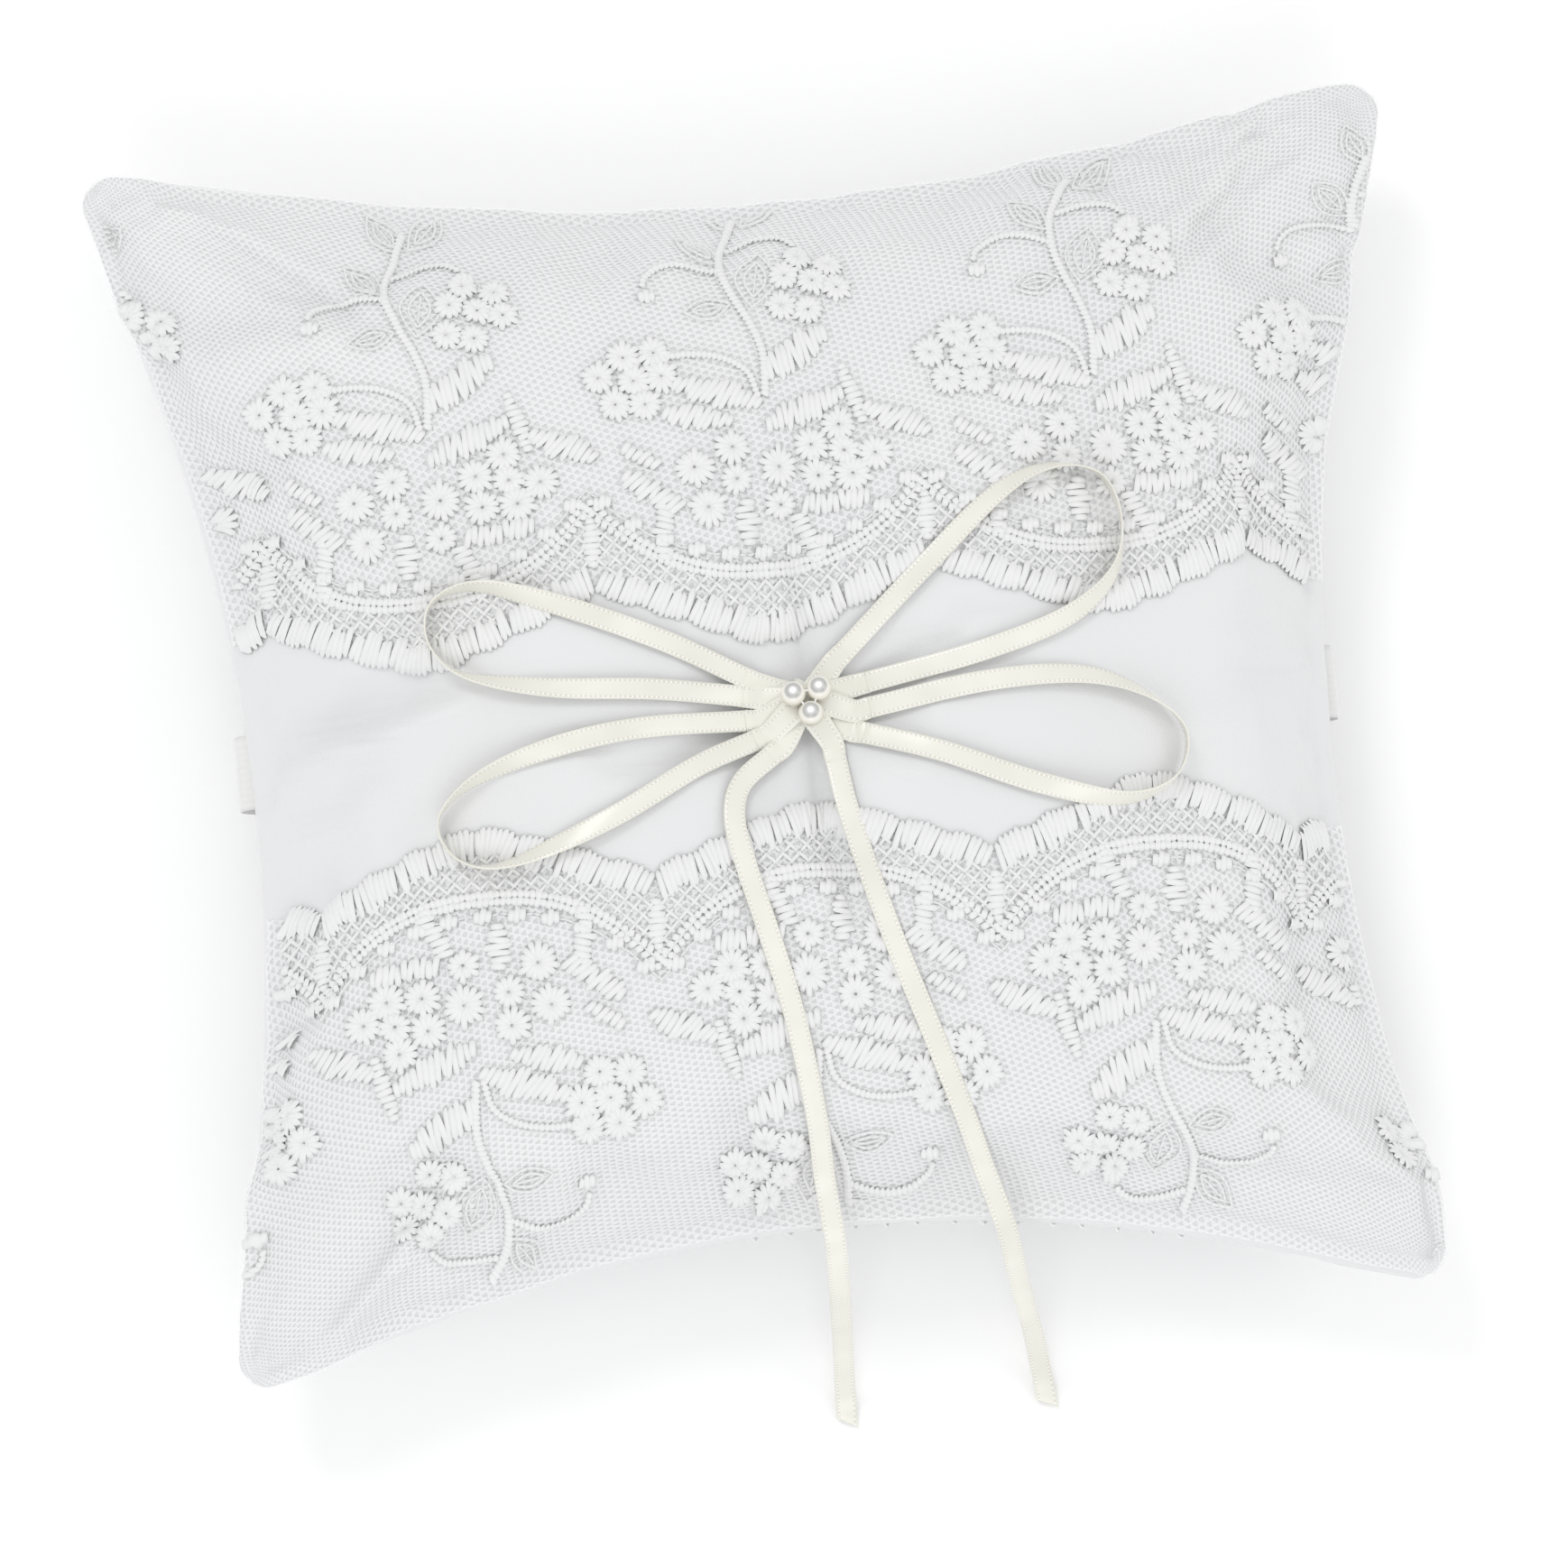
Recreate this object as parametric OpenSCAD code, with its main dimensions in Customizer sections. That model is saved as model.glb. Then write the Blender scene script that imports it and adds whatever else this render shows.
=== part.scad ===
// Ring bearer pillow: a stuffed satin square with two scalloped lace panels, a ribbon bow with
// three pearls and two ring-tie tails on top, and a hand strap across the back.
// Millimetres. The pillow lies on its back: +Z is up, +Y is towards the upper lace panel, and the
// origin is on the table under the middle of the pillow.

/* [Pillow] */
// Width over the corner tips, left to right
pillow_w = 200; // [150:1:260]
// Depth over the corner tips, front to back
pillow_d = 200; // [150:1:260]
// Height of the edge seam above the table
seam_h = 23; // [16:0.5:32]
// Rise of the top above the seam
top_rise = 33; // [20:0.5:45]
// Drop of the underside below the seam, before the table flattens it
back_drop = 29; // [26:0.5:40]
// How far each edge is pulled in at its middle
edge_pinch = 17.5; // [8:0.5:24]
// How much each corner tip is blunted
tip_blunt = 5; // [1:0.5:8]

/* [Tuft] */
// Depth of the dimple under the bow
dimple_depth = 6; // [2:0.5:10]
// Half the radius at which the dimple has faded out
dimple_r = 22; // [14:1:30]
// Depth of the matching dimple in the back
back_dimple = 3; // [2:0.5:5]
// Diameter of the thread that ties the bow to the back
tuft_thread_d = 0.8; // [0.4:0.1:1.2]
// Room round that thread in its needle holes
needle_room = 0.1; // [0.05:0.05:0.3]

/* [Fabric] */
// Thickness of the satin
satin_t = 0.5; // [0.3:0.1:0.8]
// Thickness of the embroidered lace
lace_t = 0.5; // [0.3:0.1:1]
// Gap between one layer of cloth and the next
ply_gap = 0.3; // [0.2:0.1:0.6]
// Width of the seam allowance that is turned inside
seam_allowance = 1.3; // [1:0.1:3]
// Diameter of the sewing thread in the edge seam
seam_thread_d = 0.6; // [0.3:0.1:0.8]

/* [Lace] */
// Distance from the bow to the nearest scallops of the upper panel
upper_lace_y = 10; // [6:0.5:30]
// Distance from the bow to the nearest scallops of the lower panel
lower_lace_y = 16; // [6:0.5:30]
// Width of one scallop
scallop_w = 52.5; // [30:0.5:80]
// Height of a scallop from its tip to the notch beside it
scallop_h = 9; // [3:0.5:14]
// Sideways place of the upper panel's middle scallop
upper_shift = -5; // [-20:0.5:20]
// Sideways place of the lower panel's middle scallop
lower_shift = 0; // [-20:0.5:20]

/* [Strap] */
// Width of the elastic hand strap
strap_w = 12; // [8:0.5:20]
// Thickness of the strap
strap_t = 0.6; // [0.4:0.1:1]
// Length of the strap that a hand can pull clear of the back
strap_free = 132; // [90:1:140]
// Gap between the strap's moving middle and its sewn ends
strap_split = 0.4; // [0.3:0.1:1]
// Room between the strap and the pillow's back
strap_gap = 0.4; // [0.3:0.1:1]

/* [Bow] */
// Width of the double-face satin ribbon
ribbon_w = 3.2; // [2:0.1:5]
// Thickness of the ribbon
ribbon_t = 0.4; // [0.2:0.05:0.6]
// Radius of the gathered ribbon under the pearls
knot_r = 3.4; // [3:0.1:5]
// Height of the gathered ribbon
knot_h = 3.2; // [2:0.1:5]
// Reach of the ribbon stubs that come out of the knot
stub_reach = 9; // [7:0.5:11]
// Gap between a stub and the loop or tail that goes on from it
flex_gap = 0.4; // [0.3:0.1:0.8]
// Diameter of a pearl
pearl_d = 4; // [3:0.1:5]
// Diameter of a pearl's thread hole
pearl_bore_d = 0.8; // [0.6:0.1:1.2]
// Diameter of the thread through the pearls
pearl_thread_d = 0.5; // [0.3:0.05:0.6]

/* [Closing] */
// Length of the front edge that is closed by hand after stuffing
closing_w = 68; // [40:1:100]
// Sideways place of the middle of the hand-closed part
closing_x = 21; // [-30:1:30]
// Distance between two hand stitches
closing_pitch = 5; // [3:0.5:8]
// Diameter of a hand stitch
closing_d = 0.5; // [0.3:0.1:0.8]

/* [Hidden] */

satin_white = [0.93, 0.935, 0.95];
lace_white = [0.97, 0.97, 0.97];
ribbon_ivory = [0.95, 0.94, 0.86];
pearl_ivory = [0.93, 0.91, 0.84];
fibre_white = [0.9, 0.9, 0.9];

// Depth of each layer under the pillow's outermost surface
satin_l = lace_t + ply_gap;
inner_l = satin_l + satin_t;
seam_l = inner_l + seam_thread_d;
fill_l = inner_l + seam_allowance;
strap_l = satin_l - ply_gap - strap_t / 2;

// The cloth's grid is closer near the seam, where the cloth turns fastest
cloth_steps = 24;
lace_columns = 36;
lace_rows = 9;
puff_power = 0.45;
tip_power = 8;
groove_ramp = 2;
groove_half = strap_w / 2 + 1;
groove_depth = strap_t + strap_gap;

edge_loss = min([for (t = [0.7 : 0.01 : 1]) edge_pinch * (1 - t * t) + tip_blunt * pow(t, tip_power)]);
span_x = pillow_w / 2 + edge_loss;
span_y = pillow_d / 2 + edge_loss;

function spread(u) = (u + sin(90 * u)) / 2;
function cloth_line() = [for (i = [0 : cloth_steps]) spread(2 * i / cloth_steps - 1)];
// Extra grid lines follow the strap's groove
function cloth_rows() = let (
    g1 = groove_half / (span_y - edge_pinch),
    g2 = (groove_half + groove_ramp) / (span_y - edge_pinch),
    line = cloth_line())
    concat([for (v = line) if (v < -g2 - 0.02) v], [-g2, -g1, 0, g1, g2], [for (v = line) if (v > g2 + 0.02) v]);

// Where the cloth's grid point (s, t), each from -1 to 1, lies in plan, l millimetres inside the surface
function plan_x(s, t, l) =
    s * (span_x - edge_pinch * (1 - t * t) - tip_blunt * pow(abs(s * t), tip_power)) * (1 - 2 * l / pillow_w);
function plan_y(s, t, l) =
    t * (span_y - edge_pinch * (1 - s * s) - tip_blunt * pow(abs(s * t), tip_power)) * (1 - 2 * l / pillow_d);
function puff(s, t) = pow(max(0, (1 - s * s) * (1 - t * t)), puff_power);
function dimple(x, y) = pow(max(0, 1 - (x * x + y * y) / pow(2 * dimple_r, 2)), 3);
function groove(y) = groove_depth * min(1, max(0, (groove_half + groove_ramp - abs(y)) / groove_ramp));

function front_point(s, t, l) = let (x = plan_x(s, t, l), y = plan_y(s, t, l))
    [x, y, seam_h + (top_rise - l) * puff(s, t) - dimple_depth * dimple(x, y) * min(1, 3 * puff(s, t))];
function back_point(s, t, l) = let (
    x = plan_x(s, t, l),
    y = plan_y(s, t, l),
    hanging = seam_h - (back_drop - l + satin_l) * puff(s, t),
    relief = groove(y) + back_dimple * dimple(x, y))
    [x, y, max(l - satin_l, hanging) + relief * min(1, 3 * puff(s, t))];

// Grid point of the top at a place in plan, and the top's height there
function grid_at(x, y, s = 0, t = 0, n = 6) = n == 0 ? [s, t] :
    grid_at(x, y, x / (plan_x(1, t, 0)), y / (plan_y(s, 1, 0)), n - 1);
function top_z(x, y) = let (g = grid_at(x, y)) front_point(g[0], g[1], 0)[2];

// ---- Closed solids from grids and strips ----

// Two triangles for each cell of a grid of nr by nc points, clockwise from above. Their shared edge
// points at the grid's middle, so that a corner cell isn't folded flat.
function grid_faces(nr, nc) = [for (r = [0 : nr - 2], c = [0 : nc - 2]) let (a = r * nc + c)
    each (2 * r < nr - 1) == (2 * c < nc - 1)
        ? [[a, a + nc, a + nc + 1], [a, a + nc + 1, a + 1]]
        : [[a, a + nc, a + 1], [a + 1, a + nc, a + nc + 1]]];

// A sheet of cloth between an outer and an inner grid of points, rows of equal length
module cloth(outer, inner) {
    nr = len(outer);
    nc = len(outer[0]);
    points = concat([for (r = outer) each r], [for (r = inner) each r]);
    under = nr * nc;
    top = grid_faces(nr, nc);
    bottom = [for (f = top) [f[2] + under, f[1] + under, f[0] + under]];
    rim = concat(
        [for (c = [0 : nc - 1]) c],
        [for (r = [1 : nr - 1]) r * nc + nc - 1],
        [for (c = [nc - 2 : -1 : 0]) (nr - 1) * nc + c],
        [for (r = [nr - 2 : -1 : 1]) r * nc]);
    n = len(rim);
    sides = [for (i = [0 : n - 1]) let (a = rim[i], b = rim[(i + 1) % n])
        each [[a, b, a + under], [b, b + under, a + under]]];
    polyhedron(points, concat(top, bottom, sides), convexity = 6);
}

// A tube or strip through a list of rings of points, closed at both ends
module swept(rings) {
    n = len(rings[0]);
    m = len(rings);
    walls = [for (i = [0 : m - 2], k = [0 : n - 1]) let (a = i * n + k, b = i * n + (k + 1) % n)
        each [[a, b, a + n], [b, b + n, a + n]]];
    ends = [[for (k = [n - 1 : -1 : 0]) k], [for (k = [0 : n - 1]) (m - 1) * n + k]];
    polyhedron([for (r = rings) each r], concat(walls, ends), convexity = 6);
}

function unit(v) = v / norm(v);
function curve_point(a, b, c, d, u) = 0.5 * (2 * b + (c - a) * u + (2 * a - 5 * b + 4 * c - d) * u * u
    + (3 * b - a - 3 * c + d) * u * u * u);
// A smooth line through hand-chosen points, with so many steps between each two
function smooth(p, steps) = let (n = len(p) - 1)
    [for (i = [0 : n - 1], k = [0 : steps - 1])
        curve_point(p[max(0, i - 1)], p[i], p[i + 1], p[min(n, i + 2)], k / steps), p[n]];
// Ring of a flat ribbon at step i of a line, turned on edge by roll degrees
function ribbon_ring(p, i, roll) = let (
    along = unit(p[min(len(p) - 1, i + 1)] - p[max(0, i - 1)]),
    side = unit(cross([0, 0, 1], along)),
    up = cross(along, side),
    w = (cos(roll) * side + sin(roll) * up) * ribbon_w / 2,
    h = (cos(roll) * up - sin(roll) * side) * ribbon_t / 2)
    [p[i] - w - h, p[i] + w - h, p[i] + w + h, p[i] - w + h];

// ---- Routes of the free ribbon, from the bow's middle: [x, y, height above the cloth] ----

loop_upper_left_route = [
    [-9, 4.4, 1.4], [-22, 11, 1.4], [-38, 18, 1.6], [-50, 22, 2.2], [-57, 20, 2.6], [-58, 14, 2.8],
    [-53, 8.5, 2.4], [-40, 5, 1.6], [-24, 3.4, 1.4], [-9.6, 1.6, 1.4]
];
loop_lower_left_route = [
    [-9.6, -2.2, 1.4], [-28, -2.6, 1.4], [-43, -5, 1.6], [-54, -9, 2.2], [-59, -14.5, 2.8], [-56, -20.5, 2.6],
    [-48, -21.5, 2.2], [-32, -16, 1.6], [-18, -9, 1.4], [-8.4, -5.4, 1.4]
];
loop_upper_right_route = [
    [6.6, 7.2, 1.4], [20, 19, 1.4], [33, 30, 1.6], [42, 33.6, 2.2], [49.5, 31.5, 2.6], [52, 24, 2.8],
    [50, 16, 2.6], [42, 9.5, 1.8], [28, 5.2, 1.4], [9.6, 2.2, 1.4]
];
loop_lower_right_route = [
    [9.7, -1.8, 1.4], [29, 0.4, 1.4], [44, 0, 1.6], [54, -4, 2.2], [59, -10, 2.8], [56.5, -17, 2.6],
    [48, -19.8, 2.2], [35, -16.5, 1.6], [20, -10, 1.4], [8.4, -5.6, 1.4]
];
// Steps between two of a route's points
loop_steps = 3;
tail_steps = 3;
ring_tie_left_route = [
    [-5.9, -7.8, 1.6], [-10, -16, 1.4], [-10.4, -30, 1.4], [-7, -47, 1.4], [-4.4, -63, 1.6], [-3.2, -74, 2]
];
ring_tie_right_route = [
    [3.7, -9, 1.6], [5, -19, 1.4], [9, -36, 1.4], [14.9, -54, 1.4], [19, -66, 1.6], [21.8, -74, 2]
];
// Beyond the pillow's edge: [x, y, height above the table]
ring_tie_left_drop = [
    [-2.3, -83, 38.5], [-1.6, -89.5, 30.5], [-0.9, -95, 21], [-0.3, -100, 12], [0.1, -104.5, 5], [0.3, -108.5, 1.5], [0.2, -112, 0.7]
];
ring_tie_right_drop = [
    [24.6, -83, 38.5], [26.6, -89.5, 30.5], [28.6, -95, 21], [30.6, -100, 12], [32, -104.5, 5], [32.9, -108.5, 1.5], [33.3, -112, 0.7]
];

function on_cloth(route) = [for (p = route) [p[0], p[1], top_z(p[0], p[1]) + p[2]]];
// A loop's ribbon lies flat at the knot and stands on edge at its far turn
function edge_roll(u) = 90 * pow(sin(180 * u), 3);

module ribbon_loop(route) {
    line = smooth(on_cloth(route), loop_steps);
    n = len(line) - 1;
    color(ribbon_ivory) swept([for (i = [0 : n]) ribbon_ring(line, i, -edge_roll(i / n))]);
}

module ring_tie(route, drop) {
    line = smooth(concat(on_cloth(route), drop), tail_steps);
    color(ribbon_ivory) swept([for (i = [0 : len(line) - 1]) ribbon_ring(line, i, 0)]);
}

// ---- Stuffed body ----

module fibre_filling() {
    rows = cloth_rows();
    front = [for (t = rows) [for (s = cloth_line()) front_point(s, t, fill_l)]];
    back = [for (t = rows) [for (s = cloth_line()) back_point(s, t, fill_l)]];
    color(fibre_white) difference() {
        stuffed(front, back);
        needle_hole();
    }
}

// The way of the tuft's thread through everything under the bow
module needle_hole() {
    cylinder(d = tuft_thread_d + 2 * needle_room, h = seam_h + top_rise, $fn = 24);
}

// A body between a front and a back grid whose rims are the same points
module stuffed(front, back) {
    nr = len(front);
    nc = len(front[0]);
    inner = [for (r = [1 : nr - 2]) [for (c = [1 : nc - 2]) back[r][c]]];
    points = concat([for (r = front) each r], [for (r = inner) each r]);
    // The back's point under point i of the front, which is the same point on the rim
    function under(i) = let (r = floor(i / nc), c = i % nc) r == 0 || r == nr - 1 || c == 0 || c == nc - 1
        ? i : nr * nc + (r - 1) * (nc - 2) + c - 1;
    top = grid_faces(nr, nc);
    bottom = [for (f = top) [under(f[2]), under(f[1]), under(f[0])]];
    polyhedron(points, concat(top, bottom), convexity = 6);
}

module front_satin_panel() {
    rows = cloth_rows();
    color(satin_white) difference() {
        cloth(
            [for (t = rows) [for (s = cloth_line()) front_point(s, t, satin_l)]],
            [for (t = rows) [for (s = cloth_line()) front_point(s, t, inner_l)]]);
        needle_hole();
    }
}

module back_satin_panel() {
    rows = cloth_rows();
    color(satin_white) difference() {
        cloth(
            [for (t = rows) [for (s = cloth_line()) back_point(s, t, inner_l)]],
            [for (t = rows) [for (s = cloth_line()) back_point(s, t, satin_l)]]);
        needle_hole();
    }
}

// Height in plan of a panel's scalloped edge
function scallop(x, start, shift) = let (u = (x - shift) / scallop_w, from_tip = u - round(u))
    start + scallop_h * pow(2 * from_tip, 2);

// way is 1 for the upper panel and -1 for the lower one
module lace_panel(start, shift, way) {
    columns = [for (i = [0 : lace_columns]) spread(2 * i / lace_columns - 1)];
    rows = [for (r = [0 : lace_rows]) [for (s = columns) let (
        first = scallop(plan_x(s, 0.2, 0), start, shift) / plan_y(s, 1, 0),
        u = r / lace_rows)
        [s, way * (first + (1 - first) * sin(90 * u))]]];
    outer = [for (row = rows) [for (g = row) front_point(g[0], g[1], 0)]];
    inner = [for (row = rows) [for (g = row) front_point(g[0], g[1], lace_t)]];
    color(lace_white) if (way > 0) cloth(outer, inner); else cloth(inner, outer);
}

module upper_lace_panel() {
    lace_panel(upper_lace_y, upper_shift, 1);
}

module lower_lace_panel() {
    lace_panel(lower_lace_y, lower_shift, -1);
}

// ---- Seams ----

module edge_seam_thread() {
    quarter = [for (i = [0 : 19]) spread(i / 10 - 1)];
    line = concat(
        [for (u = quarter) [u, -1]], [for (u = quarter) [1, u]],
        [for (u = quarter) [-u, 1]], [for (u = quarter) [-1, -u]]);
    n = len(line);
    sides = 6;
    rings = [for (g = line) let (
        p = [plan_x(g[0], g[1], seam_l), plan_y(g[0], g[1], seam_l), seam_h],
        out = unit([p[0], p[1], 0]))
        [for (k = [0 : sides - 1]) p + seam_thread_d / 2 * (cos(360 * k / sides) * out + [0, 0, sin(360 * k / sides)])]];
    walls = [for (i = [0 : n - 1], k = [0 : sides - 1]) let (
        a = i * sides + k, b = i * sides + (k + 1) % sides,
        c = (i + 1) % n * sides + k, d = (i + 1) % n * sides + (k + 1) % sides)
        each [[a, b, c], [b, d, c]]];
    color(lace_white) polyhedron([for (r = rings) each r], walls, convexity = 8);
}

module closing_stitches() {
    count = floor(closing_w / closing_pitch);
    color(lace_white) for (i = [0 : count]) {
        x = closing_x + (i - count / 2) * closing_pitch;
        g = grid_at(x, -0.8 * span_y);
        edge_y = plan_y(g[0], -1, 0);
        translate([x, edge_y - closing_d / 2 - ply_gap, seam_h]) rotate([0, 35, 0])
            cylinder(d = closing_d, h = 2.4, center = true, $fn = 24);
    }
}

// ---- Hand strap ----

function strap_point(s) = let (p = back_point(s, 0, strap_l))
    [p[0], 0, max(strap_t / 2, seam_h - (back_drop - strap_l + satin_l) * puff(s, 0))];
// The strap's line between two places along it, shares of the half width
function strap_line(a, b, n) = [for (i = [0 : n]) strap_point(a + (b - a) * i / n)];

module strap(line) {
    rings = [for (i = [0 : len(line) - 1]) let (
        along = unit(line[min(len(line) - 1, i + 1)] - line[max(0, i - 1)]),
        up = cross(along, [0, 1, 0]) * -1,
        w = [0, strap_w / 2, 0],
        h = up * strap_t / 2)
        [line[i] - w - h, line[i] - w + h, line[i] + w + h, line[i] + w - h]];
    color(satin_white) swept(rings);
}

strap_reach = strap_free / 2 / plan_x(1, 0, strap_l);
split_reach = (strap_free / 2 + strap_split) / plan_x(1, 0, strap_l);

module hand_strap() {
    strap(strap_line(-strap_reach, strap_reach, 24));
}

module strap_end_left() {
    strap(strap_line(-0.995, -split_reach, 10));
}

module strap_end_right() {
    strap(strap_line(split_reach, 0.995, 10));
}

// ---- Bow, pearls and their threads ----

cloth_under_bow = top_z(0, 0);
knot_z = cloth_under_bow + 0.1;
knot_top = knot_z + knot_h;
stub_z = top_z(stub_reach, 0) + 1.4;
// Where each leg of ribbon comes out of the knot, degrees from +X
legs = [154, 170.5, 193, 213, 47.5, 12.9, -10.5, -33.7, -127, -67.7];

module bow_knot() {
    color(ribbon_ivory) {
        translate([0, 0, knot_z]) cylinder(r = knot_r, h = knot_h, $fn = 48);
        translate([0, 0, stub_z - ribbon_t / 2]) linear_extrude(ribbon_t) {
            circle(r = knot_r + 1, $fn = 48);
            for (a = legs) rotate(a) translate([0, -ribbon_w / 2]) square([stub_reach - flex_gap, ribbon_w]);
        }
    }
}

pearl_ring_r = (pearl_d + 0.1) / 2 / sin(60);
pearl_z = knot_top + pearl_d / 2 + 0.05;
// Turn of each pearl about the knot, degrees from +X
pearl_left_turn = 157;
pearl_right_turn = 37;
pearl_front_turn = 277;

module pearl(turn) {
    color(pearl_ivory) rotate([0, 0, turn]) translate([pearl_ring_r, 0, pearl_z]) difference() {
        sphere(d = pearl_d, $fn = 48);
        rotate([0, 90, 0]) cylinder(d = pearl_bore_d, h = pearl_d + 1, center = true, $fn = 24);
    }
}

module pearl_thread() {
    r = pearl_thread_d / 2;
    reach = pearl_ring_r + pearl_d / 2 + 2 * r;
    color(lace_white) for (a = [pearl_left_turn, pearl_right_turn, pearl_front_turn]) rotate([0, 0, a]) {
        translate([0, 0, pearl_z]) rotate([0, 90, 0]) cylinder(r = r, h = reach, $fn = 24);
        translate([reach - r, 0, stub_z + ribbon_t]) cylinder(r = r, h = pearl_z - stub_z - ribbon_t, $fn = 24);
        translate([0, 0, knot_top]) cylinder(r = r, h = pearl_z - knot_top, $fn = 24);
    }
}

tuft_z = back_point(0, 0, satin_l)[2];

module tuft_thread() {
    bottom = tuft_z - ply_gap;
    color(lace_white) translate([0, 0, bottom]) cylinder(d = tuft_thread_d, h = knot_z - bottom, $fn = 24);
}

module tuft_knot() {
    height = 1.2;
    color(lace_white) translate([0, 0, tuft_z - ply_gap - height]) cylinder(r = 1.3, h = height, $fn = 32);
}

fibre_filling();
front_satin_panel();
back_satin_panel();
upper_lace_panel();
lower_lace_panel();
edge_seam_thread();
closing_stitches();
hand_strap();
strap_end_left();
strap_end_right();
bow_knot();
ribbon_loop(loop_upper_left_route);  // loop_upper_left
ribbon_loop(loop_lower_left_route);  // loop_lower_left
ribbon_loop(loop_upper_right_route);  // loop_upper_right
ribbon_loop(loop_lower_right_route);  // loop_lower_right
ring_tie(ring_tie_left_route, ring_tie_left_drop);  // ring_tie_left
ring_tie(ring_tie_right_route, ring_tie_right_drop);  // ring_tie_right
pearl(pearl_left_turn);  // pearl_left
pearl(pearl_right_turn);  // pearl_right
pearl(pearl_front_turn);  // pearl_front
pearl_thread();
tuft_thread();
tuft_knot();
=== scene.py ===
"""Looks of a ring bearer pillow: stuffed satin, two embroidered net panels, a ribbon bow with three pearls.

Metres, in the part's own frame: +Z up, +Y towards the upper lace panel, origin under the pillow's middle.
Lace and ribbon measures are written in millimetres and turned into metres where they are used.
"""

from math import cos, pi, radians, sin

import bpy
import numpy as np
from mathutils import Matrix, Vector


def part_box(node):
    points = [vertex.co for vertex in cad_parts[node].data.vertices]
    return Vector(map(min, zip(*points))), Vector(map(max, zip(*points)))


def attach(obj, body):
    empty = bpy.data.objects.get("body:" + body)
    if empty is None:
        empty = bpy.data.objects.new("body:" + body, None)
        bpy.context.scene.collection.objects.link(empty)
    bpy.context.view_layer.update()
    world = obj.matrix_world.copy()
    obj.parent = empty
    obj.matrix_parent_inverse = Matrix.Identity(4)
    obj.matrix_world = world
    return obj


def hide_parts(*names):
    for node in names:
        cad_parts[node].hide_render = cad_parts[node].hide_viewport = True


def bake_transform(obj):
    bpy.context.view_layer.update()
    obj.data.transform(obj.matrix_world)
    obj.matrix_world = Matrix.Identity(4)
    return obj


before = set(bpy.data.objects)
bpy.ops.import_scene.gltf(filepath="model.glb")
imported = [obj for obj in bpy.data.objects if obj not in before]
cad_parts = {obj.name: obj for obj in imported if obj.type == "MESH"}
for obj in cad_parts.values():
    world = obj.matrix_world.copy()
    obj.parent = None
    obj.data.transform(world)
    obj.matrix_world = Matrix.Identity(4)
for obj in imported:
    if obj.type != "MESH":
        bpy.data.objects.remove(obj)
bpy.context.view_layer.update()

MM = 0.001
RNG = np.random.default_rng(20)

# ---- The pillow's form, as in the part's source ----
SIDE = 0.200
SEAM_H = 0.023
TOP_RISE = 0.033
BACK_DROP = 0.029
EDGE_PINCH = 0.0175
TIP_BLUNT = 0.005
TIP_POWER = 8
PUFF_POWER = 0.45
DIMPLE_DEPTH = 0.006
BACK_DIMPLE = 0.003
DIMPLE_R = 0.022
SPAN = SIDE / 2 + 0.00495
GROOVE_HALF = 0.007
GROOVE_RAMP = 0.002
GROOVE_DEPTH = 0.001

# ---- What the stuffing does to one real pillow: no side pulls in quite as far as the next ----
PINCH_LEFT = EDGE_PINCH + 0.0020
PINCH_RIGHT = EDGE_PINCH + 0.0016
PINCH_REAR = EDGE_PINCH + 0.0004
PINCH_FRONT = EDGE_PINCH + 0.0052
LEAN = 0.49
WIDE, DEEP = 1.020, 0.985
TIP_ROUND = 0.085

# ---- Lace ----
SCALLOP_W = 52.5
SCALLOP_H = 9.0
TIP_SOFT = 4.0
UPPER_START, UPPER_SHIFT = 10.2, -5.0
LOWER_START, LOWER_SHIFT = 16.0, 0.0
STITCH = 0.96

# ---- Ribbon and pearls ----
RIBBON_W = 0.0032
RIBBON_T = 0.00028
KNOT_TOP = 0.0533
PEARL_D = 0.004
PEARL_RING_R = (PEARL_D + 0.0001) / 2 / sin(radians(60))
PEARL_Z = KNOT_TOP + PEARL_D / 2 + 0.00005


# ==================================================================== meshes

def new_mesh(name, verts, faces, uv=None, smooth=True):
    mesh = bpy.data.meshes.new(name)
    mesh.from_pydata(np.asarray(verts).tolist(), [], [list(map(int, f)) for f in faces])
    mesh.polygons.foreach_set("use_smooth", [smooth] * len(mesh.polygons))
    if uv is not None:
        layer = mesh.uv_layers.new(name="weave")
        corner = np.empty(len(mesh.loops), int)
        mesh.loops.foreach_get("vertex_index", corner)
        layer.data.foreach_set("uv", np.asarray(uv, float)[corner].ravel())
    mesh.update()
    piece = bpy.data.objects.new(name, mesh)
    bpy.context.scene.collection.objects.link(piece)
    return piece


def dressed(piece, material, node):
    """A piece of the pillow's own body, in its material, in place of a node of the part."""
    piece.data.materials.append(material)
    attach(piece, "pillow")
    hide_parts(node)


def units(rows):
    """Each row's direction."""
    return rows / np.linalg.norm(rows, axis=1)[:, None]


def run_along(line):
    """Each point's distance along a line."""
    return np.concatenate([[0], np.cumsum(np.linalg.norm(np.diff(line, axis=0), axis=1))])


def at_distance(line, run, d):
    """The places on a line at distances d, where its points' own distances are run."""
    return np.stack([np.interp(d, run, line[:, k]) for k in range(line.shape[1])], -1)


def turned(way, angle):
    """A direction in plan, turned anticlockwise."""
    return np.array([way[0] * cos(angle) - way[1] * sin(angle), way[0] * sin(angle) + way[1] * cos(angle)])


def circle(steps):
    return np.linspace(0, 2 * pi, steps, endpoint=False)


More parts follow.
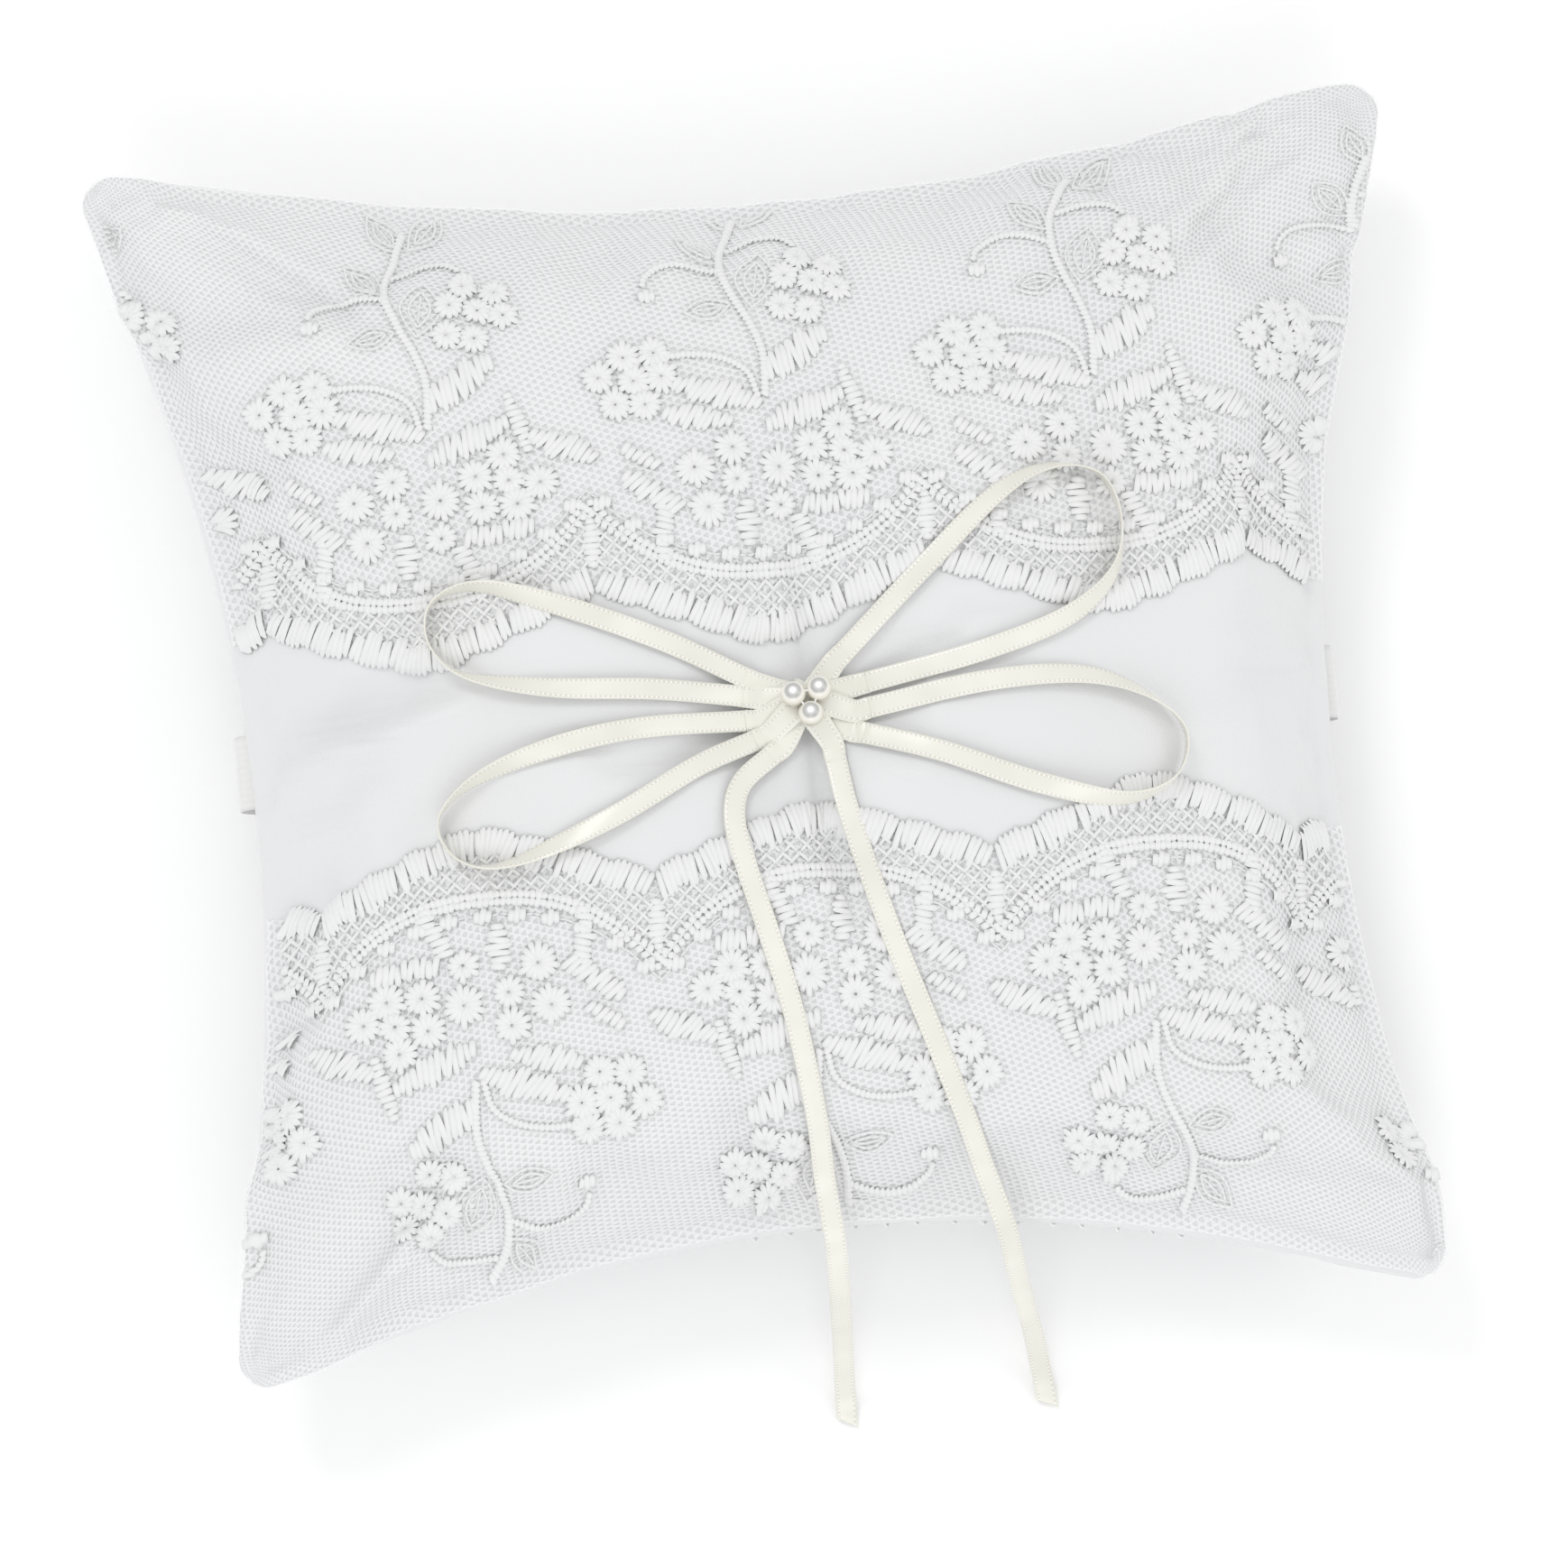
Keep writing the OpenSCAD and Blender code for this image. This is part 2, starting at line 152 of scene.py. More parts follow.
def ring_walls(rings, sides, flip=False):
    """The quads between rings of points, numbered ring by ring."""
    i, k = np.meshgrid(np.arange(rings - 1), np.arange(sides), indexing="ij")
    a, b = i * sides + k, i * sides + (k + 1) % sides
    corners = [a, a + sides, b + sides, b] if flip else [a, b, b + sides, a + sides]
    return np.stack(corners, -1).reshape(-1, 4).tolist()


def grid_quads(rows, columns, flip=False):
    """The quads of a grid of points, numbered row by row."""
    r, c = np.meshgrid(np.arange(rows - 1), np.arange(columns - 1), indexing="ij")
    a = (r * columns + c).ravel()
    quads = np.stack([a, a + 1, a + columns + 1, a + columns], 1)
    return quads[:, ::-1] if flip else quads


def tube_mesh(name, line, radius, sides=8):
    """A round thread along a line, with domed ends."""
    line = np.asarray(line, float)
    along = units(np.gradient(line, axis=0))
    helper = np.where(np.abs(along[:, 2:3]) > 0.9, [[1.0, 0, 0]], [[0, 0, 1.0]])
    side = units(np.cross(helper, along))
    up = np.cross(along, side)
    turn = circle(sides)
    size = np.full(len(line), radius)
    size[[0, -1]] *= 0.5
    ring = np.cos(turn)[None, :, None] * side[:, None] + np.sin(turn)[None, :, None] * up[:, None]
    verts = (line[:, None] + size[:, None, None] * ring).reshape(-1, 3)
    n = len(line)
    ends = [list(range(sides))[::-1], [(n - 1) * sides + j for j in range(sides)]]
    return new_mesh(name, verts, ring_walls(n, sides) + ends)


def joined(name, pieces):
    """Several mesh pieces as one."""
    verts, faces, corners, base = [], [], [], 0
    for p in pieces:
        verts.extend(tuple(v.co) for v in p.data.vertices)
        faces.extend([i + base for i in f.vertices] for f in p.data.polygons)
        places = np.zeros(2 * len(p.data.loops))
        if p.data.uv_layers:
            p.data.uv_layers[0].data.foreach_get("uv", places)
        corners.append(places)
        base = len(verts)
        bpy.data.objects.remove(p)
    whole = new_mesh(name, verts, faces)
    whole.data.uv_layers.new(name="weave").data.foreach_set("uv", np.concatenate(corners))
    return whole


# ==================================================================== the pillow's surface

def plan(s, t):
    """Place in plan of the cloth's grid point (s, t), each from -1 to 1."""
    blunt = TIP_BLUNT * np.abs(s * t) ** TIP_POWER
    x = s * (SPAN - np.where(s > 0, PINCH_RIGHT, PINCH_LEFT) * (1 - t * t) - blunt)
    y = t * (SPAN - np.where(t > 0, PINCH_REAR, PINCH_FRONT) * (1 - s * s) - blunt)
    return x * WIDE * (1 + LEAN * y), y * DEEP


def grid_place(x, y):
    """The cloth's grid point above a place in plan."""
    s, t = x / SPAN, y / SPAN
    for _ in range(14):
        reach_x = np.abs(plan(np.where(s < 0, -1.0, 1.0), t)[0])
        reach_y = np.abs(plan(s, np.where(t < 0, -1.0, 1.0))[1])
        s, t = x / reach_x, y / reach_y
        s, t = np.clip(s, -1, 1), np.clip(t, -1, 1)
    return s, t


def puff(s, t):
    return np.maximum(0, (1 - s * s) * (1 - t * t)) ** PUFF_POWER


def dimple(x, y):
    return np.maximum(0, 1 - (x * x + y * y) / (2 * DIMPLE_R) ** 2) ** 3


def ridge(x, y, start, end, width, depth):
    """A soft fold from start to end, fading at both ends."""
    a, b = np.array(start), np.array(end)
    d = b - a
    u = ((x - a[0]) * d[0] + (y - a[1]) * d[1]) / (d @ d)
    off = ((x - a[0]) * d[1] - (y - a[1]) * d[0]) / np.linalg.norm(d)
    fade = np.clip(u, 0, 1) * np.clip(1 - u, 0, 1) * 4
    return depth * np.exp(-(off / width) ** 2) * fade


# Folds of the front: start, end, half width and height above the smooth form
FOLDS = [
    ((0.0, 0.030), (0.0, -0.002), 0.0016, -0.0014),
    ((0.0, 0.002), (0.003, -0.036), 0.0019, -0.0017),
    ((-0.092, 0.001), (-0.050, 0.010), 0.0038, -0.0036),
    ((-0.091, -0.005), (-0.050, 0.004), 0.0022, 0.0016),
    ((-0.090, -0.016), (-0.052, -0.008), 0.0040, 0.0008),
    ((0.089, 0.002), (0.058, -0.004), 0.0030, -0.0007),
    ((0.030, 0.012), (0.004, 0.001), 0.0025, -0.0006),
    ((-0.030, -0.010), (-0.004, -0.001), 0.0025, -0.0006),
    ((-0.097, 0.094), (-0.060, 0.066), 0.0035, -0.0010),
    ((0.096, 0.095), (0.062, 0.062), 0.0032, -0.0009),
    ((-0.094, -0.097), (-0.058, -0.064), 0.0035, -0.0010),
    ((0.094, -0.095), (0.060, -0.060), 0.0034, -0.0010),
]


def puckers(s, t):
    """Small gathers where the stuffed cloth meets the seam."""
    near_x = np.exp(-((1 - np.abs(s)) / 0.055)) * (1 - np.abs(t) ** 6)
    near_y = np.exp(-((1 - np.abs(t)) / 0.055)) * (1 - np.abs(s) ** 6)
    along_x = np.sin(37 * t + 1.3 * np.sin(9 * t) + s) + 0.6 * np.sin(61 * t + 2 * np.sin(7 * t))
    along_y = np.sin(35 * s + 1.5 * np.sin(8 * s) + t) + 0.6 * np.sin(57 * s + 2 * np.sin(6 * s))
    return 0.00034 * (near_x * along_x + near_y * along_y)


def cover_point(s, t, front=True, inset=0.0):
    """A point of the cover; inset shrinks the form for what lies inside it."""
    x, y = plan(s, t)
    full = puff(s, t)
    held = np.minimum(1, 3 * full)
    fold = sum(ridge(x, y, *f) for f in FOLDS) + puckers(s, t) if inset == 0 else 0.0
    if front:
        z = SEAM_H + (TOP_RISE - inset) * full - (DIMPLE_DEPTH * dimple(x, y) - fold) * held
    else:
        groove = GROOVE_DEPTH * np.clip((GROOVE_HALF + GROOVE_RAMP - np.abs(y)) / GROOVE_RAMP, 0, 1)
        hanging = SEAM_H - (BACK_DROP - inset) * full + puckers(t, s) * held * (inset == 0)
        z = np.maximum(inset, hanging) + (groove + BACK_DIMPLE * dimple(x, y)) * held
    shrink = 1 - 2 * inset / SIDE
    return np.stack([x * shrink, y * shrink, z], -1)


class Surface:
    """A grid of points over (s, t) that can be read at any place."""

    def __init__(self, line, points):
        self.line, self.points = line, points
        du, dv = np.gradient(points, axis=1), np.gradient(points, axis=0)
        normal = np.cross(du, dv)
        self.normals = normal / np.maximum(np.linalg.norm(normal, axis=-1, keepdims=True), 1e-12)

    def read(self, s, t):
        """Points and normals at (s, t)."""
        n = len(self.line)
        found = []
        for v in (s, t):
            i = np.clip(np.searchsorted(self.line, v) - 1, 0, n - 2)
            found.append((i, np.clip((v - self.line[i]) / (self.line[i + 1] - self.line[i]), 0, 1)))
        (c, fc), (r, fr) = found
        fc, fr = fc[..., None], fr[..., None]

        def mixed(a):
            low = a[r, c] * (1 - fc) + a[r, c + 1] * fc
            high = a[r + 1, c] * (1 - fc) + a[r + 1, c + 1] * fc
            return low * (1 - fr) + high * fr

        return mixed(self.points), mixed(self.normals)

    def above(self, x, y, h):
        """Points h above the cloth at places in plan."""
        p, n = self.read(*grid_place(x, y))
        return p + n * np.asarray(h)[..., None]


COVER_STEPS = 168
cover_line = np.sin(np.linspace(-1, 1, COVER_STEPS + 1) * pi / 2)


def flat_cut(x):
    """Where the cloth's grid line at x was on the flat cloth, as a share of its half width."""
    return np.arcsin(np.clip(x, -1, 1)) / (pi / 2) * 0.5 + x * 0.5


# ==================================================================== camera and stage

def make_camera():
    """A long lens nearly overhead, a little towards the tails and the left."""
    distance, lean_front, lean_left, turn = 0.85, radians(6.8), radians(5.2), radians(5.5)
    bow = Vector((0, 0, PEARL_Z))
    way = Vector((-sin(lean_left), -sin(lean_front), 1)).normalized()
    up = Vector((sin(turn), cos(turn), 0))
    up = (up - way * up.dot(way)).normalized()
    right = up.cross(way)
    aim = bow - right * 0.0037 - up * 0.0133
    camera = bpy.data.objects.new("camera", bpy.data.cameras.new("camera"))
    camera.data.lens = 125.4
    camera.data.sensor_width = 36
    camera.data.clip_end = 20
    facing = Matrix((right, up, way)).transposed().to_4x4()
    camera.matrix_world = Matrix.Translation(aim + way * distance) @ facing
    bpy.context.scene.collection.objects.link(camera)
    bpy.context.scene.camera = camera


def area_light(name, place, target, size, power, colour):
    light = bpy.data.objects.new(name, bpy.data.lights.new(name, "AREA"))
    light.data.shape = "DISK"
    light.data.size = size
    light.data.energy = power
    light.data.color = colour
    light.location = place
    light.rotation_euler = (Vector(target) - Vector(place)).to_track_quat("-Z", "Y").to_euler()
    bpy.context.scene.collection.objects.link(light)


def make_stage():
    side, lift = 4.0, -0.0002
    corner = side / 2
    corners = [(x * corner, y * corner, lift) for x, y in ((-1, -1), (1, -1), (1, 1), (-1, 1))]
    floor = new_mesh("floor", corners, [(0, 1, 2, 3)], smooth=False)
    paper = Material("paper", (0.98, 0.98, 0.98), roughness=0.9, specular_ior_level=0.2)
    fine = paper.noise(scale=900, detail=3)
    paper.bump(fine, strength=0.05, distance=0.0002)
    floor.data.materials.append(paper.data)
    area_light("key", (-0.55, 0.85, 1.35), (0, 0, 0.03), 0.5, 4.0, (1.0, 0.995, 0.985))
    area_light("fill_front", (-0.2, -1.2, 1.1), (0, 0, 0.03), 1.2, 4.6, (0.99, 0.995, 1.0))
    area_light("fill_right", (1.2, 0.0, 1.1), (0, 0, 0.03), 0.8, 1.8, (1.0, 0.98, 0.94))
    world = bpy.data.worlds.new("studio")
    world.use_nodes = True
    world.node_tree.nodes["Background"].inputs["Color"].default_value = (0.99, 0.992, 1.0, 1)
    world.node_tree.nodes["Background"].inputs["Strength"].default_value = 0.86
    bpy.context.scene.world = world
    bpy.context.scene.view_settings.view_transform = "Standard"


# ==================================================================== materials

class Material:
    """A Principled material with short ways to add its nodes."""

    def __init__(self, name, colour, roughness=0.5, **sockets):
        self.data = bpy.data.materials.new(name)
        self.data.use_nodes = True
        self.nodes = self.data.node_tree.nodes
        self.links = self.data.node_tree.links
        self.shader = self.nodes["Principled BSDF"]
        self.shader.inputs["Base Color"].default_value = (*colour, 1)
        self.shader.inputs["Roughness"].default_value = roughness
        for socket, value in sockets.items():
            self.shader.inputs[socket.replace("_", " ").title().replace("Ior", "IOR")].default_value = value
        self.last_bump = None

    def put(self, socket, value):
        if isinstance(value, bpy.types.NodeSocket):
            self.links.new(value, socket)
        else:
            socket.default_value = value

    def math(self, operation, a, b=0.0, c=0.0):
        made = self.nodes.new("ShaderNodeMath")
        made.operation = operation
        for i, value in enumerate((a, b, c)):
            self.put(made.inputs[i], value)
        return made.outputs[0]

    def place(self):
        """The object's own coordinates, x, y and z in metres."""
        if not hasattr(self, "_place"):
            split = self.nodes.new("ShaderNodeSeparateXYZ")
            self._coords = self.nodes.new("ShaderNodeTexCoord").outputs["Object"]
            self.links.new(self._coords, split.inputs[0])
            self._place = [split.outputs[i] for i in range(3)]
        return self._place

    def weave_place(self):
        """The cloth's own coordinates, along and across, in metres."""
        if not hasattr(self, "_weave"):
            split = self.nodes.new("ShaderNodeSeparateXYZ")
            uv = self.nodes.new("ShaderNodeUVMap")
            uv.uv_map = "weave"
            self.links.new(uv.outputs[0], split.inputs[0])
            self._weave = [split.outputs[0], split.outputs[1]]
        return self._weave

    def noise(self, scale, detail=2.0, stretch=(1, 1, 1)):
        self.place()
        mapping = self.nodes.new("ShaderNodeMapping")
        self.links.new(self._coords, mapping.inputs["Vector"])
        mapping.inputs["Scale"].default_value = stretch
        made = self.nodes.new("ShaderNodeTexNoise")
        self.links.new(mapping.outputs[0], made.inputs["Vector"])
        made.inputs["Scale"].default_value = scale
        made.inputs["Detail"].default_value = detail
        return made.outputs["Fac"]

    def wave(self, a, b, direction, pitch):
        """A wave from 0 to 1 over a plane's coordinates a and b, with crests a pitch apart."""
        turn = radians(direction)
        run = self.math("ADD", self.math("MULTIPLY", a, cos(turn) * 2 * pi / pitch),
                        self.math("MULTIPLY", b, sin(turn) * 2 * pi / pitch))
        return self.math("MULTIPLY_ADD", self.math("SINE", run), 0.5, 0.5)

    def mix(self, factor, low, high):
        """A colour between two, by a factor from 0 to 1."""
        ramp = self.nodes.new("ShaderNodeMix")
        ramp.data_type = "RGBA"
        self.put(ramp.inputs["Factor"], factor)
        ramp.inputs[6].default_value = (*low, 1)
        ramp.inputs[7].default_value = (*high, 1)
        return ramp.outputs[2]

    def colour(self, socket):
        self.links.new(socket, self.shader.inputs["Base Color"])

    def rough(self, factor, low, high):
        self.links.new(self.math("MULTIPLY_ADD", factor, high - low, low), self.shader.inputs["Roughness"])

    def bump(self, height, strength, distance):
        made = self.nodes.new("ShaderNodeBump")
        made.inputs["Strength"].default_value = strength
        made.inputs["Distance"].default_value = distance
        self.links.new(height, made.inputs["Height"])
        if self.last_bump is not None:
            self.links.new(self.last_bump, made.inputs["Normal"])
        self.last_bump = made.outputs[0]
        self.links.new(self.last_bump, self.shader.inputs["Normal"])


def satin_material():
    """White satin: long floats in one direction, a soft cool sheen."""
    m = Material("satin", (0.76, 0.77, 0.78), 0.42, sheen_weight=0.25, sheen_roughness=0.4,
                 specular_ior_level=0.4)
    along, across = m.weave_place()
    floats = m.wave(along, across, 62, 0.00042)
    picks = m.wave(along, across, -18, 0.00075)
    weave = m.math("MULTIPLY_ADD", floats, 0.7, m.math("MULTIPLY", picks, 0.3))
    cloudy = m.noise(28, 3)
    m.colour(m.mix(m.math("MULTIPLY_ADD", cloudy, 0.7, m.math("MULTIPLY", weave, 0.3)),
                   (0.735, 0.742, 0.752), (0.765, 0.767, 0.765)))
    m.rough(cloudy, 0.34, 0.50)
    m.bump(weave, 0.35, 0.00005)
    m.bump(m.noise(260, 2, (1, 3, 1)), 0.12, 0.0002)
    return m.data


def net_material():
    """Fine hexagonal net: thread where the three-way lattice is low, open in its holes."""
    m = Material("net", (0.87, 0.875, 0.88), 0.6, sheen_weight=0.2)
    along, across = m.weave_place()
    pitch = 0.00098
    holes = m.math("ADD", m.math("ADD", m.wave(along, across, 8, pitch), m.wave(along, across, 68, pitch)),
                   m.wave(along, across, 128, pitch))
    thread = m.math("LESS_THAN", holes, 1.62)
    m.links.new(m.math("MULTIPLY_ADD", thread, 0.44, 0.20), m.shader.inputs["Alpha"])
    m.colour(m.mix(m.noise(60, 2), (0.90, 0.905, 0.91), (0.94, 0.94, 0.94)))
    m.bump(holes, 0.25, 0.00008)
    return m.data


def stitch_material():
    """Matt white embroidery thread, a little fluffy."""
    m = Material("embroidery_thread", (0.88, 0.885, 0.885), 0.62, sheen_weight=0.35, sheen_roughness=0.5)
    m.colour(m.mix(m.noise(220, 3), (0.775, 0.78, 0.78), (0.825, 0.825, 0.82)))
    m.rough(m.noise(500, 2), 0.5, 0.72)
    m.bump(m.noise(5200, 3), 0.35, 0.00008)
    return m.data


def ribbon_material():
    """Ivory double-face satin with a dotted selvedge along each edge, and painted shade beside the dots."""
    m = Material("ribbon_satin", (0.86, 0.84, 0.76), 0.34, sheen_weight=0.2, sheen_roughness=0.3,
                 specular_ior_level=0.75)
    along, across = m.weave_place()
    pitch, inset, radius = 0.00076, 0.00034, 0.00017
    step = m.math("SUBTRACT", m.math("FRACT", m.math("DIVIDE", along, pitch)), 0.5)
    along_gap = m.math("MULTIPLY", step, pitch)
    across_gap = m.math("SUBTRACT", m.math("ABSOLUTE", across), RIBBON_W / 2 - inset)
    gap = m.math("SQRT", m.math("ADD", m.math("MULTIPLY", along_gap, along_gap),
                                m.math("MULTIPLY", across_gap, across_gap)))
    dot = m.math("LESS_THAN", gap, radius)
    floats = m.wave(along, across, 90, 0.00021)
    # Painted shade: the colour is darker in a narrow band along each row of dots, as the shadow beside the
    # raised dots
    rows = m.math("LESS_THAN", m.math("ABSOLUTE", across_gap), 0.00019)
    base = m.mix(m.math("MULTIPLY_ADD", rows, -0.45, m.math("ADD", m.noise(90, 2), 0.25)),
                 (0.66, 0.65, 0.575), (0.85, 0.84, 0.76))
    dotted = m.nodes.new("ShaderNodeMix")
    dotted.data_type = "RGBA"
    m.links.new(dot, dotted.inputs["Factor"])
    m.links.new(base, dotted.inputs[6])
    dotted.inputs[7].default_value = (0.93, 0.925, 0.88, 1)
    m.colour(dotted.outputs[2])
    m.rough(floats, 0.20, 0.32)
    m.bump(floats, 0.2, 0.00003)
    m.bump(dot, 0.6, 0.00012)
    return m.data


def strap_material():
    """White satin-covered elastic: fine ribs along it and a woven edge."""
    m = Material("strap_elastic", (0.84, 0.84, 0.82), 0.4, sheen_weight=0.3)
    along, across = m.weave_place()
    ribs = m.wave(along, across, 90, 0.0011)
    picks = m.wave(along, across, 0, 0.00035)
    m.colour(m.mix(m.math("MULTIPLY_ADD", ribs, 0.6, m.math("MULTIPLY", picks, 0.4)),
                   (0.76, 0.76, 0.75), (0.79, 0.79, 0.78)))
    m.rough(picks, 0.32, 0.42)
    m.bump(ribs, 0.2, 0.00006)
    m.bump(picks, 0.3, 0.00004)
    return m.data


def thread_material():
    """Polyester sewing thread, twisted."""
    m = Material("sewing_thread", (0.88, 0.88, 0.87), 0.45, sheen_weight=0.2)
    x, y, z = m.place()
    twist = m.wave(m.math("ADD", x, y), z, 40, 0.00035)
    m.colour(m.mix(twist, (0.80, 0.80, 0.79), (0.90, 0.90, 0.89)))
    m.bump(twist, 0.5, 0.00006)
    return m.data


def pearl_material():
    """Pearl lacquer: a soft warm body under a hard clear coat, with a painted highlight and painted
    reflections in its colour.
    """
    m = Material("pearl_lacquer_painted_reflection", (0.86, 0.83, 0.77), 0.24, coat_weight=0.9, coat_roughness=0.04,
                 specular_ior_level=0.6, sheen_weight=0.1)
    # Painted reflections and painted light in the colour, set only by the surface's direction: a painted
    # highlight, a grey crown and bright shoulders of painted reflection, and a painted warm shade
    facing = m.nodes.new("ShaderNodeVectorMath")
    facing.operation = "DOT_PRODUCT"
    m.links.new(m.nodes.new("ShaderNodeNewGeometry").outputs["Normal"], facing.inputs[0])
    facing.inputs[1].default_value = Vector((-0.10, 0.20, 1)).normalized()
    painted_reflection_bands = m.nodes.new("ShaderNodeValToRGB")
    m.links.new(facing.outputs["Value"], painted_reflection_bands.inputs[0])
    painted_light_stops = ((0.10, (0.56, 0.53, 0.44)), (0.40, (0.84, 0.81, 0.71)), (0.68, (0.90, 0.88, 0.82)),
             (0.84, (0.42, 0.42, 0.40)), (0.95, (0.62, 0.62, 0.61)), (0.982, (1.0, 1.0, 1.0)))
    while len(painted_reflection_bands.color_ramp.elements) < len(painted_light_stops):
        painted_reflection_bands.color_ramp.elements.new(0.5)
    for element, (at, shade) in zip(painted_reflection_bands.color_ramp.elements, painted_light_stops):
        element.position = at
        element.color = (*shade, 1)
    m.colour(painted_reflection_bands.outputs[0])
    m.rough(m.noise(700, 2), 0.12, 0.2)
    m.bump(m.noise(900, 2), 0.03, 0.00005)
    return m.data


def fibre_material():
    """Loose polyester fibre."""
    m = Material("polyester_fibre", (0.86, 0.86, 0.86), 0.85, sheen_weight=0.5)
    strands = m.noise(420, 6, (1, 2.4, 1.6))
    m.colour(m.mix(strands, (0.74, 0.74, 0.74), (0.92, 0.92, 0.92)))
    m.bump(strands, 0.8, 0.0012)
    return m.data


# ==================================================================== stuffed satin

def rim_welded(front, back):
    """Vertices and quads of a closed body from a front and a back grid with the same rim."""
    n = len(front)
    inside = np.zeros((n, n), bool)
    inside[1:-1, 1:-1] = True
    under = np.arange(n * n).reshape(n, n)
    under[inside] = n * n + np.arange((n - 2) ** 2)
    quads = grid_quads(n, n)
    back_quads = under.ravel()[quads][:, ::-1]
    return np.concatenate([front.reshape(-1, 3), back[inside]]), np.concatenate([quads, back_quads]), inside


SIM_STEPS = 60
SIM_FRAMES = 18
SIM_CAP = 0.0024


def pressure_shift():
    """How far the stuffing's pressure moves the cover, front and back, on a coarse grid."""
    line = np.linspace(-1, 1, SIM_STEPS + 1)
    line = (line + np.sin(line * pi / 2)) / 2
    s, t = np.meshgrid(line, line)
    front, back = cover_point(s, t), cover_point(s, t, front=False)
    verts, quads, inside = rim_welded(front, back)
    cloth = new_mesh("cloth_trial", verts, quads)
    held = np.ones(len(verts))
    r = np.hypot(verts[:, 0], verts[:, 1])
    front_inside = np.flatnonzero(inside)
    held[front_inside] = np.clip(1 - (r[front_inside] - 0.006) / 0.004, 0, 1)
    held[inside.size:] = np.clip(1 - (r[inside.size:] - 0.004) / 0.004, 0, 1)
    group = cloth.vertex_groups.new(name="held")
    for i, weight in enumerate(held):
        group.add([i], float(weight), "REPLACE")
    modifier = cloth.modifiers.new("cloth", "CLOTH")
    settings = modifier.settings
    settings.quality = 6
    settings.mass = 0.0004
    settings.tension_stiffness = settings.compression_stiffness = 14
    settings.shear_stiffness = 6
    settings.bending_stiffness = 0.02
    settings.use_pressure = True
    settings.uniform_pressure_force = 2.5
    settings.shrink_min = -0.035
    settings.vertex_group_mass = "held"
    settings.effector_weights.gravity = 0
    modifier.point_cache.frame_end = SIM_FRAMES
    scene = bpy.context.scene
    for number in range(1, SIM_FRAMES + 1):
        scene.frame_set(number)
    seen = cloth.evaluated_get(bpy.context.evaluated_depsgraph_get())
    moved = np.array([v.co for v in seen.data.vertices])
    scene.frame_set(1)
    bpy.data.objects.remove(cloth)
    shift = moved - verts
    size = np.linalg.norm(shift, axis=1, keepdims=True)
    shift *= np.minimum(1, SIM_CAP / np.maximum(size, 1e-9))
    front_shift = shift[: inside.size].reshape(*inside.shape, 3)
    back_shift = np.zeros_like(front_shift)
    back_shift[inside] = shift[inside.size:]
    return Surface(line, front_shift), Surface(line, back_shift)


def cover_grids():
    """The front and back of the stuffed cover as fine grids."""
    s, t = np.meshgrid(cover_line, cover_line)
    front, back = cover_point(s, t), cover_point(s, t, front=False)
    front_shift, back_shift = pressure_shift()
    near_bow = np.clip((np.hypot(front[..., 0], front[..., 1]) - 0.009) / 0.012, 0, 1)
    near_strap = np.clip((np.abs(back[..., 1]) - 0.010) / 0.008, 0, 1)
    near_strap *= np.clip((np.hypot(back[..., 0], back[..., 1]) - 0.010) / 0.010, 0, 1)
    front += front_shift.read(s, t)[0] * near_bow[..., None]
    back += back_shift.read(s, t)[0] * near_strap[..., None]
    back[..., 2] = np.maximum(0, back[..., 2])
    # The seam itself sits in a fine groove, because its allowance is turned inside
    rim = np.maximum(np.abs(s), np.abs(t))
    proud = 0.0007 * np.sin(np.clip((1 - rim) / 0.02, 0, 1) * pi)
    for grid in (front, back):
        grid[..., 0] += proud * np.where(np.abs(s) >= np.abs(t), np.sign(s), 0)
        grid[..., 1] += proud * np.where(np.abs(t) > np.abs(s), np.sign(t), 0)
        round_tips(grid, s, t)
    return front, back


def make_cover(front, back):
    verts, quads, inside = rim_welded(front, back)
    s, t = np.meshgrid(cover_line, cover_line)
    flat = np.stack([flat_cut(s), flat_cut(t)], -1) * SIDE / 2
    uv = np.concatenate([flat.reshape(-1, 2), flat[inside]])
    cover = new_mesh("satin_cover", verts, quads, uv)
    cover.data.materials.append(satin_material())
    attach(cover, "pillow")
    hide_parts("front_satin_panel", "back_satin_panel")


def make_filling():
    """The loose fibre inside, a little lumpy."""
    line = np.sin(np.linspace(-1, 1, 61) * pi / 2)
    s, t = np.meshgrid(line, line)
    inset = 0.0065
    front, back = cover_point(s, t, True, inset), cover_point(s, t, False, inset)
    lump = 0.0004 * (np.sin(23 * s + 3 * np.sin(11 * t)) + np.sin(19 * t + 2 * np.sin(13 * s))) * puff(s, t)
    front[..., 2] += lump
    back[..., 2] += 0.5 * np.abs(lump)
    verts, quads, _ = rim_welded(front, back)
    filling = new_mesh("filling", verts, quads)
    dressed(filling, fibre_material(), "fibre_filling")


def rim_line(front, steps, low=0.0, high=4.0):
    """Points along the cover's seam, going round from the front left corner: one unit a side."""
    n = len(front) - 1
    around = np.concatenate([front[0, :-1], front[:-1, n], front[n, :0:-1], front[:0:-1, 0]])
    place = np.linspace(low, high, steps) * n
    i = np.floor(place).astype(int)
    f = (place - i)[:, None]
    return around[i % len(around)] * (1 - f) + around[(i + 1) % len(around)] * f


def make_seam_thread(front, thread):
    """The machine stitches that join the panels, just inside the turned edge."""
    line = rim_line(front, 240)
    line[:, :2] *= 1 - 0.0016 / (SIDE / 2)
    seam = tube_mesh("seam_thread", line, 0.0003, sides=6)
    dressed(seam, thread, "edge_seam_thread")


